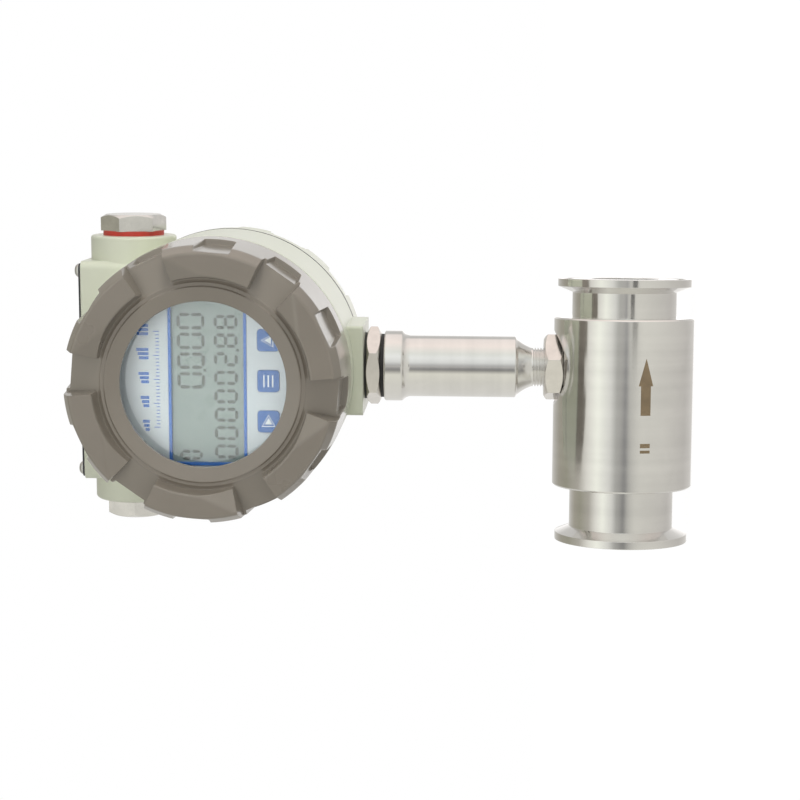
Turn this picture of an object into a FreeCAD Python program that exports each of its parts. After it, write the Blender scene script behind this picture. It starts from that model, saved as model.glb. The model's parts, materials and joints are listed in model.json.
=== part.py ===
import FreeCAD, Part
import math
import os
import Sketcher

# Turbine flow meter for a 25 mm sanitary line, with a display head on a stem.
# Row frame: origin at the centre of the inlet sealing face, +X along the flow,
# +Z from the pipe axis up to the head. Lengths are millimetres, angles degrees.
# Head frame: origin on the head axis above the stem, X along the flow, Y up,
# Z out through the window towards the reader.

sizes = {
    # meter body, along the flow
    "face_to_face": 100.0,
    "bore_diameter": 25.0,
    "guide_bore_diameter": 26.4,
    "ferrule_diameter": 50.5,
    "ferrule_rim": 2.85,
    "ferrule_cone": 2.3,
    "seal_groove_diameter": 43.5,
    "seal_groove_width": 3.2,
    "seal_groove_depth": 1.4,
    "neck_diameter": 39.5,
    "body_diameter": 53.0,
    "body_start": 21.0,
    "body_length": 64.4,
    "body_chamfer": 0.6,
    "stem_place": 66.0,
    "spot_face_depth": 3.3,
    "spot_face_diameter": 28.5,
    "pickup_wall": 2.0,
    # rotor, its straighteners and bearings
    "chamber_length": 18.5,
    "rotor_length": 11.0,
    "blade_length": 9.0,
    "blade_thickness": 1.2,
    "blade_pitch": 75.0,
    "blade_count": 8.0,
    "blade_tip_gap": 0.3,
    "hub_diameter": 10.4,
    "hub_end_gap": 0.4,
    "shaft_diameter": 3.0,
    "bearing_diameter": 6.0,
    "bearing_length": 5.5,
    "shaft_end_gap": 0.5,
    "guide_nose": 8.0,
    "guide_length_inlet": 34.0,
    "guide_length_outlet": 11.0,
    "vane_thickness": 1.0,
    "vane_count": 6.0,
    "circlip_thickness": 1.2,
    "circlip_depth": 0.8,
    "circlip_band": 2.0,
    # stem
    "stem_thread_diameter": 14.8,
    "stem_nose_gap": 0.3,
    "stem_bore_diameter": 11.0,
    "stem_nose_wall": 1.2,
    "stem_neck_length": 11.9,
    "stem_cone_length": 6.15,
    "stem_diameter": 23.4,
    "stem_straight_length": 40.25,
    "stem_flare_length": 2.9,
    "stem_collar_diameter": 26.9,
    "stem_collar_length": 6.8,
    "head_thread_diameter": 19.9,
    "head_thread_length": 15.0,
    "stem_nut_across": 22.7,
    "stem_nut_height": 7.1,
    "stem_nut_turn": 45.7,
    "head_nut_across": 26.4,
    "head_nut_height": 5.6,
    "head_nut_turn": 51.0,
    "head_nut_lift": 1.2,
    "stem_seal_thickness": 0.6,
    # pickup inside the stem
    "pole_diameter": 4.8,
    "pole_length": 15.0,
    "coil_diameter": 10.6,
    "coil_length": 13.0,
    "magnet_diameter": 8.0,
    "magnet_length": 9.0,
    # head housing
    "head_turn": -3.8,
    "barrel_diameter": 102.0,
    "barrel_front": 28.6,
    "barrel_rear": 17.6,
    "cover_thread_diameter": 93.0,
    "cover_thread_depth": 11.0,
    "compartment_diameter": 86.0,
    "partition_thickness": 6.0,
    "boss_width": 33.8,
    "boss_depth": 34.0,
    "boss_length": 3.4,
    "conduit_shift": -1.3,
    "conduit_height": 34.6,
    "conduit_hub_diameter": 32.4,
    "conduit_hub_reach": 50.8,
    "conduit_hole_diameter": 20.0,
    "conduit_hole_depth": 14.0,
    "box_reach": 41.6,
    "box_depth": 34.0,
    "box_top": 51.9,
    "box_corner": 3.0,
    "label_thickness": 0.9,
    "label_margin": 0.9,
    "label_screw_reach": 37.9,
    "label_screw_spread": 12.0,
    "label_screw_head": 5.3,
    "label_screw_shank": 2.4,
    "label_screw_rise": 1.9,
    "label_screw_grip": 6.0,
    "plug_across": 21.5,
    "plug_height": 6.2,
    "plug_spigot": 10.0,
    "outlet_plug_turn": 45.5,
    "inlet_plug_turn": 56.5,
    "washer_diameter": 23.0,
    "red_washer_thickness": 1.65,
    "dark_washer_thickness": 0.6,
    # screwed covers
    "cover_diameter": 102.0,
    "cover_joint": 0.6,
    "skirt_slope": 0.1,
    "spigot_length": 9.5,
    "spigot_wall": 4.4,
    "front_cover_depth": 32.8,
    "rear_cover_depth": 24.0,
    "lug_height": 10.0,
    "lug_inner_radius": 38.0,
    "lug_flat_radius": 46.7,
    "lug_bevel": 4.5,
    "lug_span": 42.0,
    "lug_count": 6.0,
    "lug_phase": -5.0,
    "notch_width": 12.3,
    "notch_depth": 2.0,
    "notch_rim": 9.4,
    "face_ridge_radius": 36.6,
    "face_ring_radius": 35.0,
    "face_ring_rise": 0.6,
    "face_drop": 4.6,
    "face_wall": 5.0,
    "window_diameter": 59.6,
    "window_seat": 7.5,
    "glass_diameter": 73.2,
    "glass_thickness": 5.0,
    "gasket_thickness": 0.8,
    "gasket_width": 5.0,
    "ring_thickness": 2.4,
    "ring_width": 5.0,
    # display stack, seen through the window
    "panel_height": 43.0,
    "panel_thickness": 1.5,
    "panel_diameter": 80.0,
    "lcd_frame_length": 62.6,
    "lcd_frame_height": 28.4,
    "lcd_frame_band": 1.0,
    "lcd_frame_proud": 0.3,
    "lcd_glass_thickness": 2.8,
    "lcd_glass_drop": 0.6,
    "lcd_shift": 0.0,
    "board_thickness": 1.6,
    "board_height": 31.0,
    "board_diameter": 78.0,
    "standoff_across": 5.5,
    "standoff_radius": 34.6,
    "standoff_count": 4.0,
    "panel_screw_head": 5.0,
    "panel_screw_rise": 1.6,
    "panel_screw_shank": 2.6,
    "panel_screw_length": 6.0,
    "key_size": 7.9,
    "key_corner": 1.3,
    "key_proud": 0.4,
    "key_flange": 0.8,
    "key_travel": 0.4,
    "key_pitch": 14.8,
    "key_drop": 22.1,
    "switch_size": 6.0,
    "switch_height": 3.5,
    # terminals in the rear compartment
    "terminal_length": 46.0,
    "terminal_height": 15.0,
    "terminal_depth": 12.0,
    "terminal_count": 6.0,
    "terminal_screw": 4.2,
    # clearances
    "running_clearance": 0.05,
    "swivel_clearance": 0.08,
    "fixed_clearance": 0.05,
    "key_clearance": 0.15,
    "seal_clearance": 0.05,
}

os.makedirs("parts", exist_ok=True)
doc = FreeCAD.newDocument("flow_meter")
sheet = doc.addObject("Spreadsheet::Sheet", "Sizes")
for row, (name, value) in enumerate(sizes.items(), start=1):
    sheet.set(f"A{row}", name)
    sheet.set(f"B{row}", str(value))
    sheet.setAlias(f"B{row}", name)
doc.recompute()


class Size:
    """A length: its number now, and the formula over the sheet that it comes from."""

    def __init__(self, formula, number):
        self.formula = formula
        self.number = float(number)

    def __add__(self, other):
        other = asSize(other)
        return Size(f"({self.formula} + {other.formula})", self.number + other.number)

    def __sub__(self, other):
        other = asSize(other)
        return Size(f"({self.formula} - {other.formula})", self.number - other.number)

    def __mul__(self, other):
        other = asSize(other)
        return Size(f"({self.formula} * {other.formula})", self.number * other.number)

    def __truediv__(self, other):
        other = asSize(other)
        return Size(f"({self.formula} / {other.formula})", self.number / other.number)

    def __neg__(self):
        return asSize(0) - self

    def __radd__(self, other):
        return asSize(other) + self

    def __rsub__(self, other):
        return asSize(other) - self

    def __rmul__(self, other):
        return asSize(other) * self


def asSize(value):
    if isinstance(value, Size):
        return value
    return Size(f"{float(value):.6f}", value)


class Named:
    """Every driving dimension by its name in the sheet."""

    def __init__(self):
        for name, value in sizes.items():
            setattr(self, name, Size(f"Sizes.{name}", value))


d = Named()
full_turn = 360.0
nodes = []


def bind(thing, prop, size):
    size = asSize(size)
    thing.setExpression(prop, size.formula)


def keep(thing, label):
    """Give a finished sub-part the name of its file."""
    thing.Label = label
    nodes.append(thing)
    return thing


def newBody(name):
    return doc.addObject("PartDesign::Body", name)


def originFeature(body, role):
    return next(item for item in body.Origin.OriginFeatures if item.Role == role)


def newSketch(body, role, lift=0):
    """A sketch on one of the body's own origin planes, lifted along its normal."""
    sketch = body.newObject("Sketcher::SketchObject", "Sketch")
    sketch.AttachmentSupport = [(originFeature(body, role), "")]
    sketch.MapMode = "FlatFace"
    if isinstance(lift, Size) or lift:
        bind(sketch, "AttachmentOffset.Base.z", lift)
    return sketch


def pinPoint(sketch, geometry, position, x, y):
    """Hold one sketch point at x, y by two dimensions from the origin."""
    for kind, axis, size in (("DistanceX", -2, asSize(x)), ("DistanceY", -1, asSize(y))):
        if size.number == 0 and not isinstance(x if kind == "DistanceX" else y, Size):
            sketch.addConstraint(Sketcher.Constraint("PointOnObject", geometry, position, axis))
            continue
        mark = sketch.addConstraint(
            Sketcher.Constraint(kind, -1, 1, geometry, position, size.number))
        sketch.setExpression(f"Constraints[{mark}]", size.formula)


def arcThrough(start, end, radius):
    """The arc between two points that turns left for a positive radius, right for a negative."""
    middle = (start + end) / 2
    chord = end - start
    across = FreeCAD.Vector(-chord.y, chord.x, 0).normalize()
    side = 1 if radius > 0 else -1
    rise = math.sqrt(max(radius * radius - chord.Length ** 2 / 4, 0))
    centre = middle + across * rise * side
    crown = centre - across * abs(radius) * side
    if side > 0:
        return Part.Arc(start, crown, end)
    return Part.Arc(end, crown, start)


def outline(sketch, corners):
    """A closed outline. A corner is (x, y), or (x, y, radius) when an arc arrives at it."""
    count = len(corners)
    places = [FreeCAD.Vector(asSize(c[0]).number, asSize(c[1]).number, 0) for c in corners]
    first = sketch.GeometryCount
    ends = []
    for index in range(count):
        after = (index + 1) % count
        if len(corners[after]) == 3:
            radius = asSize(corners[after][2])
            arc = arcThrough(places[index], places[after], radius.number)
            mark = sketch.addGeometry(arc, False)
            held = sketch.addConstraint(Sketcher.Constraint("Radius", mark, abs(radius.number)))
            positive = radius if radius.number > 0 else -radius
            sketch.setExpression(f"Constraints[{held}]", positive.formula)
            ends.append((1, 2) if radius.number > 0 else (2, 1))
        else:
            sketch.addGeometry(Part.LineSegment(places[index], places[after]), False)
            ends.append((1, 2))
    for index in range(count):
        after = (index + 1) % count
        sketch.addConstraint(Sketcher.Constraint(
            "Coincident", first + index, ends[index][1], first + after, ends[after][0]))
        pinPoint(sketch, first + index, ends[index][0], corners[index][0], corners[index][1])


def circle(sketch, x, y, radius):
    radius = asSize(radius)
    centre = FreeCAD.Vector(asSize(x).number, asSize(y).number, 0)
    mark = sketch.addGeometry(
        Part.Circle(centre, FreeCAD.Vector(0, 0, 1), radius.number), False)
    pinPoint(sketch, mark, 3, x, y)
    held = sketch.addConstraint(Sketcher.Constraint("Radius", mark, radius.number))
    sketch.setExpression(f"Constraints[{held}]", radius.formula)


def rectangle(sketch, x, y, width, height):
    """A rectangle centred on x, y."""
    x, y, width, height = asSize(x), asSize(y), asSize(width), asSize(height)
    outline(sketch, [
        (x - width / 2, y - height / 2), (x + width / 2, y - height / 2),
        (x + width / 2, y + height / 2), (x - width / 2, y + height / 2)])


def roundedRectangle(sketch, x, y, width, height, corner):
    x, y, width, height = asSize(x), asSize(y), asSize(width), asSize(height)
    far_x, near_x = width / 2, width / 2 - corner
    far_y, near_y = height / 2, height / 2 - corner
    outline(sketch, [
        (x + far_x, y - near_y, corner), (x + far_x, y + near_y),
        (x + near_x, y + far_y, corner), (x - near_x, y + far_y),
        (x - far_x, y + near_y, corner), (x - far_x, y - near_y),
        (x - near_x, y - far_y, corner), (x + near_x, y - far_y)])


def revolve(body, sketch, axis, cut=False, angle=full_turn, midplane=False):
    kind = "PartDesign::Groove" if cut else "PartDesign::Revolution"
    feature = body.newObject(kind, "Groove" if cut else "Revolution")
    feature.Profile = sketch
    feature.ReferenceAxis = (sketch, [axis])
    feature.Midplane = midplane
    bind(feature, "Angle", angle)
    return feature


def pad(body, sketch, length, backwards=False, midplane=False):
    feature = body.newObject("PartDesign::Pad", "Pad")
    feature.Profile = sketch
    feature.SideType = "Symmetric" if midplane else "One side"
    feature.Reversed = backwards
    bind(feature, "Length", length)
    return feature


def pocket(body, sketch, length, backwards=False, midplane=False):
    """A pocket; it runs against the sketch's normal unless backwards is set."""
    feature = body.newObject("PartDesign::Pocket", "Pocket")
    feature.Profile = sketch
    feature.SideType = "Symmetric" if midplane else "One side"
    feature.Reversed = backwards
    bind(feature, "Length", length)
    return feature


def polar(body, originals, sketch, axis, count):
    feature = body.newObject("PartDesign::PolarPattern", "PolarPattern")
    feature.Originals = originals
    feature.Axis = (sketch, [axis])
    feature.Angle = full_turn
    bind(feature, "Occurrences", count)
    body.Tip = feature
    return feature


def roundEdges(body, feature, radius, wanted):
    """Fillet the edges of a feature that the test function picks."""
    doc.recompute()
    names = [f"Edge{index}" for index, edge in enumerate(feature.Shape.Edges, start=1)
             if wanted(edge)]
    fillet = body.newObject("PartDesign::Fillet", "Fillet")
    fillet.Base = (feature, names)
    bind(fillet, "Radius", radius)
    return fillet


def place(thing, x=0, y=0, z=0, turn=None):
    """Put a thing in the row frame."""
    if turn is not None:
        thing.Placement = FreeCAD.Placement(FreeCAD.Vector(0, 0, 0), turn)
    for axis, size in (("x", x), ("y", y), ("z", z)):
        if isinstance(size, Size) or size:
            bind(thing, f"Placement.Base.{axis}", size)


def onHead(thing, turn=FreeCAD.Rotation()):
    """Put a thing made in the head frame where the head stands."""
    upright = FreeCAD.Rotation(FreeCAD.Vector(1, 0, 0), 90)
    sideways = FreeCAD.Rotation(FreeCAD.Vector(0, 0, 1), d.head_turn.number)
    place(thing, x=d.stem_place, z=head_height, turn=sideways.multiply(upright).multiply(turn))
    return thing


def hexPiece(name, across, height, chamfer_ends=2, turn=0):
    """A hexagon bar along Z with 30 degree chamfers on one or both ends."""
    slope = 1.7320508
    corner = across / slope
    prism = doc.addObject("Part::Prism", name + "Bar")
    prism.Polygon = 6
    bind(prism, "Circumradius", corner)
    bind(prism, "Height", height)
    prism.Placement.Rotation = FreeCAD.Rotation(FreeCAD.Vector(0, 0, 1), asSize(turn).number)
    shapes = [prism]
    flat = across * 0.48
    for end in range(chamfer_ends):
        cone = doc.addObject("Part::Cone", name + "Chamfer")
        bind(cone, "Radius1", flat if end else flat + height * slope)
        bind(cone, "Radius2", flat + height * slope if end else flat)
        bind(cone, "Height", height)
        shapes.append(cone)
    common = doc.addObject("Part::MultiCommon", name)
    common.Shapes = shapes
    return common


def cylinder(name, radius, height, x=0, y=0, z=0, turn=None):
    thing = doc.addObject("Part::Cylinder", name)
    bind(thing, "Radius", radius)
    bind(thing, "Height", height)
    place(thing, x, y, z, turn)
    return thing


def cut(name, base, tool):
    result = doc.addObject("Part::Cut", name)
    result.Base = base
    result.Tool = tool
    return result


def fuse(name, shapes):
    result = doc.addObject("Part::MultiFuse", name)
    result.Shapes = shapes
    return result


along_flow = FreeCAD.Rotation(FreeCAD.Vector(0, 1, 0), 90)
against_flow = FreeCAD.Rotation(FreeCAD.Vector(0, 1, 0), -90)

# Places that more than one piece shares
bore = d.bore_diameter / 2
guide_bore = d.guide_bore_diameter / 2
chamber_start = d.stem_place - d.chamber_length / 2
chamber_end = d.stem_place + d.chamber_length / 2
rotor_start = d.stem_place - d.rotor_length / 2
rotor_end = d.stem_place + d.rotor_length / 2
pickup_floor = bore + d.pickup_wall
stem_thread = d.stem_thread_diameter / 2
head_thread = d.head_thread_diameter / 2
hub_overhang = (d.chamber_length - d.rotor_length) / 2 - d.hub_end_gap
inlet_hub_end = rotor_start - d.hub_end_gap
outlet_hub_end = rotor_end + d.hub_end_gap
circlip_reach = d.circlip_thickness / 2 + d.fixed_clearance
circlip_inlet = inlet_hub_end - d.guide_length_inlet - circlip_reach
circlip_outlet = outlet_hub_end + d.guide_length_outlet + circlip_reach
spot_face = d.body_diameter / 2 - d.spot_face_depth
stem_cone_start = spot_face + d.stem_neck_length
stem_cone_end = stem_cone_start + d.stem_cone_length
stem_flare_start = stem_cone_end + d.stem_straight_length
stem_collar_start = stem_flare_start + d.stem_flare_length
stem_collar_end = stem_collar_start + d.stem_collar_length
head_nut_base = stem_collar_end + d.head_nut_lift
stem_seal_base = head_nut_base + d.head_nut_height
boss_reach = d.barrel_diameter / 2 + d.boss_length
head_height = stem_seal_base + d.stem_seal_thickness + boss_reach


def makeMeterBody():
    """A turned bar: clamp ferrules, necks, thick middle, and the bore through it."""
    body = newBody("MeterBody")
    rim = d.ferrule_diameter / 2
    neck = d.neck_diameter / 2
    barrel = d.body_diameter / 2
    body_end = d.body_start + d.body_length
    groove_outer = d.seal_groove_diameter / 2 + d.seal_groove_width / 2
    groove_inner = d.seal_groove_diameter / 2 - d.seal_groove_width / 2
    groove_side = d.seal_groove_depth / 2
    cone_end = d.ferrule_rim + d.ferrule_cone
    length = d.face_to_face
    inlet_end = [
        (0, guide_bore), (0, groove_inner), (d.seal_groove_depth, groove_inner + groove_side),
        (d.seal_groove_depth, groove_outer - groove_side), (0, groove_outer),
        (0, rim), (d.ferrule_rim, rim), (cone_end, neck)]
    outlet_end = [(length - x, r) for x, r in reversed(inlet_end)]
    middle = [
        (d.body_start, neck), (d.body_start, barrel - d.body_chamfer),
        (d.body_start + d.body_chamfer, barrel), (body_end - d.body_chamfer, barrel),
        (body_end, barrel - d.body_chamfer), (body_end, neck)]
    inside = [(chamber_end, guide_bore), (chamber_end, bore),
              (chamber_start, bore), (chamber_start, guide_bore)]
    profile = newSketch(body, "XZ_Plane")
    outline(profile, inlet_end + middle + outlet_end + inside)
    revolve(body, profile, "H_Axis")
    # flat seat and blind hole for the stem
    seat = newSketch(body, "XY_Plane", spot_face)
    circle(seat, d.stem_place, 0, d.spot_face_diameter / 2)
    pocket(body, seat, barrel, backwards=True)
    hole = newSketch(body, "XY_Plane", pickup_floor)
    circle(hole, d.stem_place, 0, stem_thread + d.fixed_clearance)
    pocket(body, hole, barrel, backwards=True)
    # grooves for the retaining rings
    for middle_x in (circlip_inlet, circlip_outlet):
        groove = newSketch(body, "XZ_Plane")
        rectangle(groove, middle_x, guide_bore, d.circlip_thickness + 2 * d.fixed_clearance,
                  2 * (d.circlip_depth + d.fixed_clearance))
        revolve(body, groove, "H_Axis", cut=True)
    return keep(body, "meter_body")


def makeStraightener(label, back, length, flow):
    """Hub with radial vanes. back is its rotor end on the pipe axis; flow is +1 when it
    stands downstream of the rotor and -1 upstream."""
    body = newBody(label.title().replace("_", ""))
    hub = d.hub_diameter / 2
    pocket_radius = d.bearing_diameter / 2 + d.fixed_clearance
    relief = d.shaft_diameter / 2 + d.shaft_end_gap
    total = length + d.guide_nose
    profile = newSketch(body, "XZ_Plane")
    outline(profile, [
        (d.bearing_length + d.shaft_end_gap * 2, 0), (d.bearing_length + d.shaft_end_gap * 2, relief),
        (d.bearing_length, relief), (d.bearing_length, pocket_radius), (0, pocket_radius),
        (0, hub), (length, hub), (total, hub * 0.12, -hub * 1.9), (total, 0)])
    revolve(body, profile, "H_Axis")
    seat = hub_overhang
    vane = newSketch(body, "XZ_Plane")
    outline(vane, [
        (seat, hub - 1), (length, hub - 1), (length, guide_bore - d.running_clearance * 2),
        (seat, guide_bore - d.running_clearance * 2)])
    first = pad(body, vane, d.vane_thickness, midplane=True)
    polar(body, [first], vane, "H_Axis", d.vane_count)
    turn = None if flow > 0 else FreeCAD.Rotation(FreeCAD.Vector(0, 0, 1), 180)
    place(body, x=back, turn=turn)
    return keep(body, label)


def makeBearing(label, start):
    body = newBody(label.title().replace("_", ""))
    profile = newSketch(body, "XZ_Plane")
    shaft = d.shaft_diameter / 2 + d.running_clearance
    outer = d.bearing_diameter / 2
    outline(profile, [
        (0, shaft + 0.3), (0.3, shaft), (d.bearing_length - 0.3, shaft),
        (d.bearing_length, shaft + 0.3), (d.bearing_length, outer), (0, outer)])
    revolve(body, profile, "H_Axis")
    place(body, x=start)
    return keep(body, label)


def makeCirclip(label, middle_x):
    """Internal retaining ring: open band with two plier eyes at its ends."""
    outer = guide_bore + d.circlip_depth
    inner = outer - d.circlip_band
    eye = d.circlip_band * 0.8
    eye_place = inner - eye * 0.35
    half = d.circlip_thickness / 2
    name = label.title().replace("_", "")
    band = cut(name + "Band",
               cylinder(name + "Disc", outer, d.circlip_thickness),
               cylinder(name + "Hole", inner, d.circlip_thickness))
    mouth = doc.addObject("Part::Box", name + "Mouth")
    bind(mouth, "Length", outer * 2)
    bind(mouth, "Width", eye * 3)
    bind(mouth, "Height", d.circlip_thickness)
    bind(mouth, "Placement.Base.y", -eye * 1.5)
    opened = cut(name + "Open", band, mouth)
    eyes = []
    for side in (1, -1):
        disc = cylinder(name + "Eye", eye, d.circlip_thickness, x=eye_place, y=side * eye * 2.1)
        hole = cylinder(name + "EyeHole", eye * 0.45, d.circlip_thickness,
                        x=eye_place, y=side * eye * 2.1)
        eyes.append(cut(name + "EyeRing", disc, hole))
    ring = fuse(name, [opened] + eyes)
    place(ring, x=middle_x - half, turn=along_flow)
    return keep(ring, label)


def makeRotor():
    """Hub with helical blades, swept along a long-pitch helix about the pipe axis."""
    body = newBody("Rotor")
    hub = d.hub_diameter / 2
    hole = d.shaft_diameter / 2 + d.fixed_clearance
    tip = bore - d.blade_tip_gap
    profile = newSketch(body, "XZ_Plane")
    edge = 0.3
    outline(profile, [
        (rotor_start, hole), (rotor_start, hub - edge), (rotor_start + edge, hub),
        (rotor_end - edge, hub), (rotor_end, hub - edge), (rotor_end, hole)])
    revolve(body, profile, "H_Axis")
    blade = newSketch(body, "XZ_Plane")
    blade_start = d.stem_place - d.blade_length / 2 - d.blade_thickness / 2
    outline(blade, [
        (blade_start, hub - 1.7), (blade_start + d.blade_thickness, hub - 1.7),
        (blade_start + d.blade_thickness, tip), (blade_start, tip)])
    sweep = body.newObject("PartDesign::AdditiveHelix", "Blade")
    sweep.Profile = blade
    sweep.ReferenceAxis = (blade, ["H_Axis"])
    sweep.Mode = "pitch-height-angle"
    bind(sweep, "Pitch", d.blade_pitch)
    bind(sweep, "Height", d.blade_length)
    polar(body, [sweep], blade, "H_Axis", d.blade_count)
    return keep(body, "rotor")


def makeShaft():
    body = newBody("RotorShaft")
    reach = d.rotor_length / 2 + d.hub_end_gap + d.bearing_length
    radius = d.shaft_diameter / 2
    tip = 0.4
    profile = newSketch(body, "XZ_Plane")
    start = d.stem_place - reach
    end = d.stem_place + reach
    outline(profile, [
        (start, 0), (start, radius - tip), (start + tip, radius),
        (end - tip, radius), (end, radius - tip), (end, 0)])
    revolve(body, profile, "H_Axis")
    return keep(body, "rotor_shaft")


def makeStem():
    """Turned tube that carries the pickup below and the head above."""
    body = newBody("StemTube")
    inner = d.stem_bore_diameter / 2
    stem = d.stem_diameter / 2
    collar = d.stem_collar_diameter / 2
    bottom = pickup_floor + d.stem_nose_gap
    top = stem_collar_end + d.head_thread_length
    edge = 0.5
    cone_step = 1.4
    shoulder = 2.0
    profile = newSketch(body, "XZ_Plane")
    outline(profile, [
        (0, bottom), (stem_thread - edge, bottom), (stem_thread, bottom + edge),
        (stem_thread, stem_cone_start),
        (stem_thread + cone_step, stem_cone_start + cone_step * 2),
        (stem - shoulder, stem_cone_end - shoulder / 2), (stem, stem_cone_end),
        (stem, stem_flare_start), (collar, stem_collar_start, -d.stem_flare_length * 1.6),
        (collar, stem_collar_end - edge), (collar - edge, stem_collar_end),
        (head_thread, stem_collar_end), (head_thread, top - edge), (head_thread - edge, top),
        (inner, top), (inner, bottom + d.stem_nose_wall), (0, bottom + d.stem_nose_wall)])
    revolve(body, profile, "V_Axis")
    place(body, x=d.stem_place)
    return keep(body, "stem_tube")


def makeNut(label, across, height, hole, base, turn):
    name = label.title().replace("_", "")
    bar = hexPiece(name + "Hex", across, height, turn=turn)
    nut = cut(name, bar, cylinder(name + "Hole", hole + d.fixed_clearance, height))
    place(nut, x=d.stem_place, z=base)
    return keep(nut, label)


def makeTurned(label, height, base, outer, inner=None):
    """A plain round piece on the stem axis, solid or with a hole."""
    name = label.title().replace("_", "")
    piece = cylinder(name + "Outer", outer, height)
    if inner is not None:
        piece = cut(name, piece, cylinder(name + "Inner", inner, height))
    place(piece, x=d.stem_place, z=base)
    return keep(piece, label)


def makeHousing():
    """Casting with two round compartments, a stem boss below and a conduit box on top."""
    body = newBody("Housing")
    barrel = d.barrel_diameter / 2
    compartment = d.compartment_diameter / 2
    thread = d.cover_thread_diameter / 2
    half_wall = d.partition_thickness / 2
    hub = d.conduit_hub_diameter / 2
    edge = 0.6
    shell = newSketch(body, "XZ_Plane")
    outline(shell, [
        (0, -d.barrel_rear), (barrel - edge, -d.barrel_rear), (barrel, -d.barrel_rear + edge),
        (barrel, d.barrel_front - edge), (barrel - edge, d.barrel_front), (0, d.barrel_front)])
    revolve(body, shell, "V_Axis")
    # conduit box, with rounded upright corners
    box = newSketch(body, "XZ_Plane", -d.box_top)
    roundedRectangle(box, d.conduit_shift, 0, d.box_reach * 2, d.box_depth, d.box_corner)
    pad(body, box, d.box_top - d.conduit_height + hub)
    hubs = newSketch(body, "YZ_Plane", d.conduit_shift - d.conduit_hub_reach)
    circle(hubs, d.conduit_height, 0, hub)
    bridge = pad(body, hubs, d.conduit_hub_reach * 2)
    hub_edge = d.box_corner / 3
    bridge = roundEdges(body, bridge, hub_edge, lambda e: e.Closed and abs(
        abs(e.CenterOfMass.x - d.conduit_shift.number) - d.conduit_hub_reach.number) < 0.01)
    # boss over the stem
    boss = newSketch(body, "XZ_Plane", boss_reach)
    roundedRectangle(boss, 0, 0, d.boss_width, d.boss_depth, d.box_corner / 3)
    pad(body, boss, boss_reach - compartment - half_wall / 3, backwards=True)
    # the two compartments, each with its cover thread
    rooms = newSketch(body, "XZ_Plane")
    front_step = d.barrel_front - d.cover_thread_depth
    outline(rooms, [
        (0, half_wall), (compartment, half_wall), (compartment, front_step),
        (thread, front_step), (thread, d.barrel_front), (0, d.barrel_front)])
    revolve(body, rooms, "V_Axis", cut=True)
    rear_step = d.cover_thread_depth - d.barrel_rear
    back = newSketch(body, "XZ_Plane")
    outline(back, [
        (0, -half_wall), (0, -d.barrel_rear), (thread, -d.barrel_rear), (thread, rear_step),
        (compartment, rear_step), (compartment, -half_wall)])
    revolve(body, back, "V_Axis", cut=True)
    # stem thread, up into both compartments
    stem_hole = newSketch(body, "XZ_Plane", boss_reach)
    circle(stem_hole, 0, 0, head_thread + d.swivel_clearance)
    pocket(body, stem_hole, boss_reach - compartment + half_wall)
    # conduit threads at both ends, and the narrower passages into the compartments
    for side in (1, -1):
        backwards = side < 0
        face = d.conduit_shift + side * d.conduit_hub_reach
        entry = newSketch(body, "YZ_Plane", face)
        circle(entry, d.conduit_height, 0, d.conduit_hole_diameter / 2)
        pocket(body, entry, d.conduit_hole_depth, backwards=backwards)
        passage = newSketch(body, "YZ_Plane", face)
        circle(passage, d.conduit_height, 0, d.conduit_hole_diameter * 0.36)
        pocket(body, passage, d.conduit_hub_reach - half_wall * 7, backwards=backwards)
    # blind holes for the four screws of the blank plate
    screws = newSketch(body, "XZ_Plane", -d.box_top)
    for x, y in labelScrewPlaces():
        circle(screws, x, y, d.label_screw_shank / 2 + d.fixed_clearance)
    pocket(body, screws, label_screw_length + d.fixed_clearance, backwards=True)
    # wire hole through the partition
    wires = newSketch(body, "XY_Plane")
    circle(wires, 0, -compartment * 0.6, half_wall * 2)
    pocket(body, wires, d.partition_thickness * 2, midplane=True)
    onHead(body)
    return keep(body, "housing")


def labelScrewPlaces():
    return [(d.conduit_shift + side * d.label_screw_reach, depth * d.label_screw_spread)
            for side in (1, -1) for depth in (1, -1)]


label_screw_length = d.label_thickness + d.label_screw_grip


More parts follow.
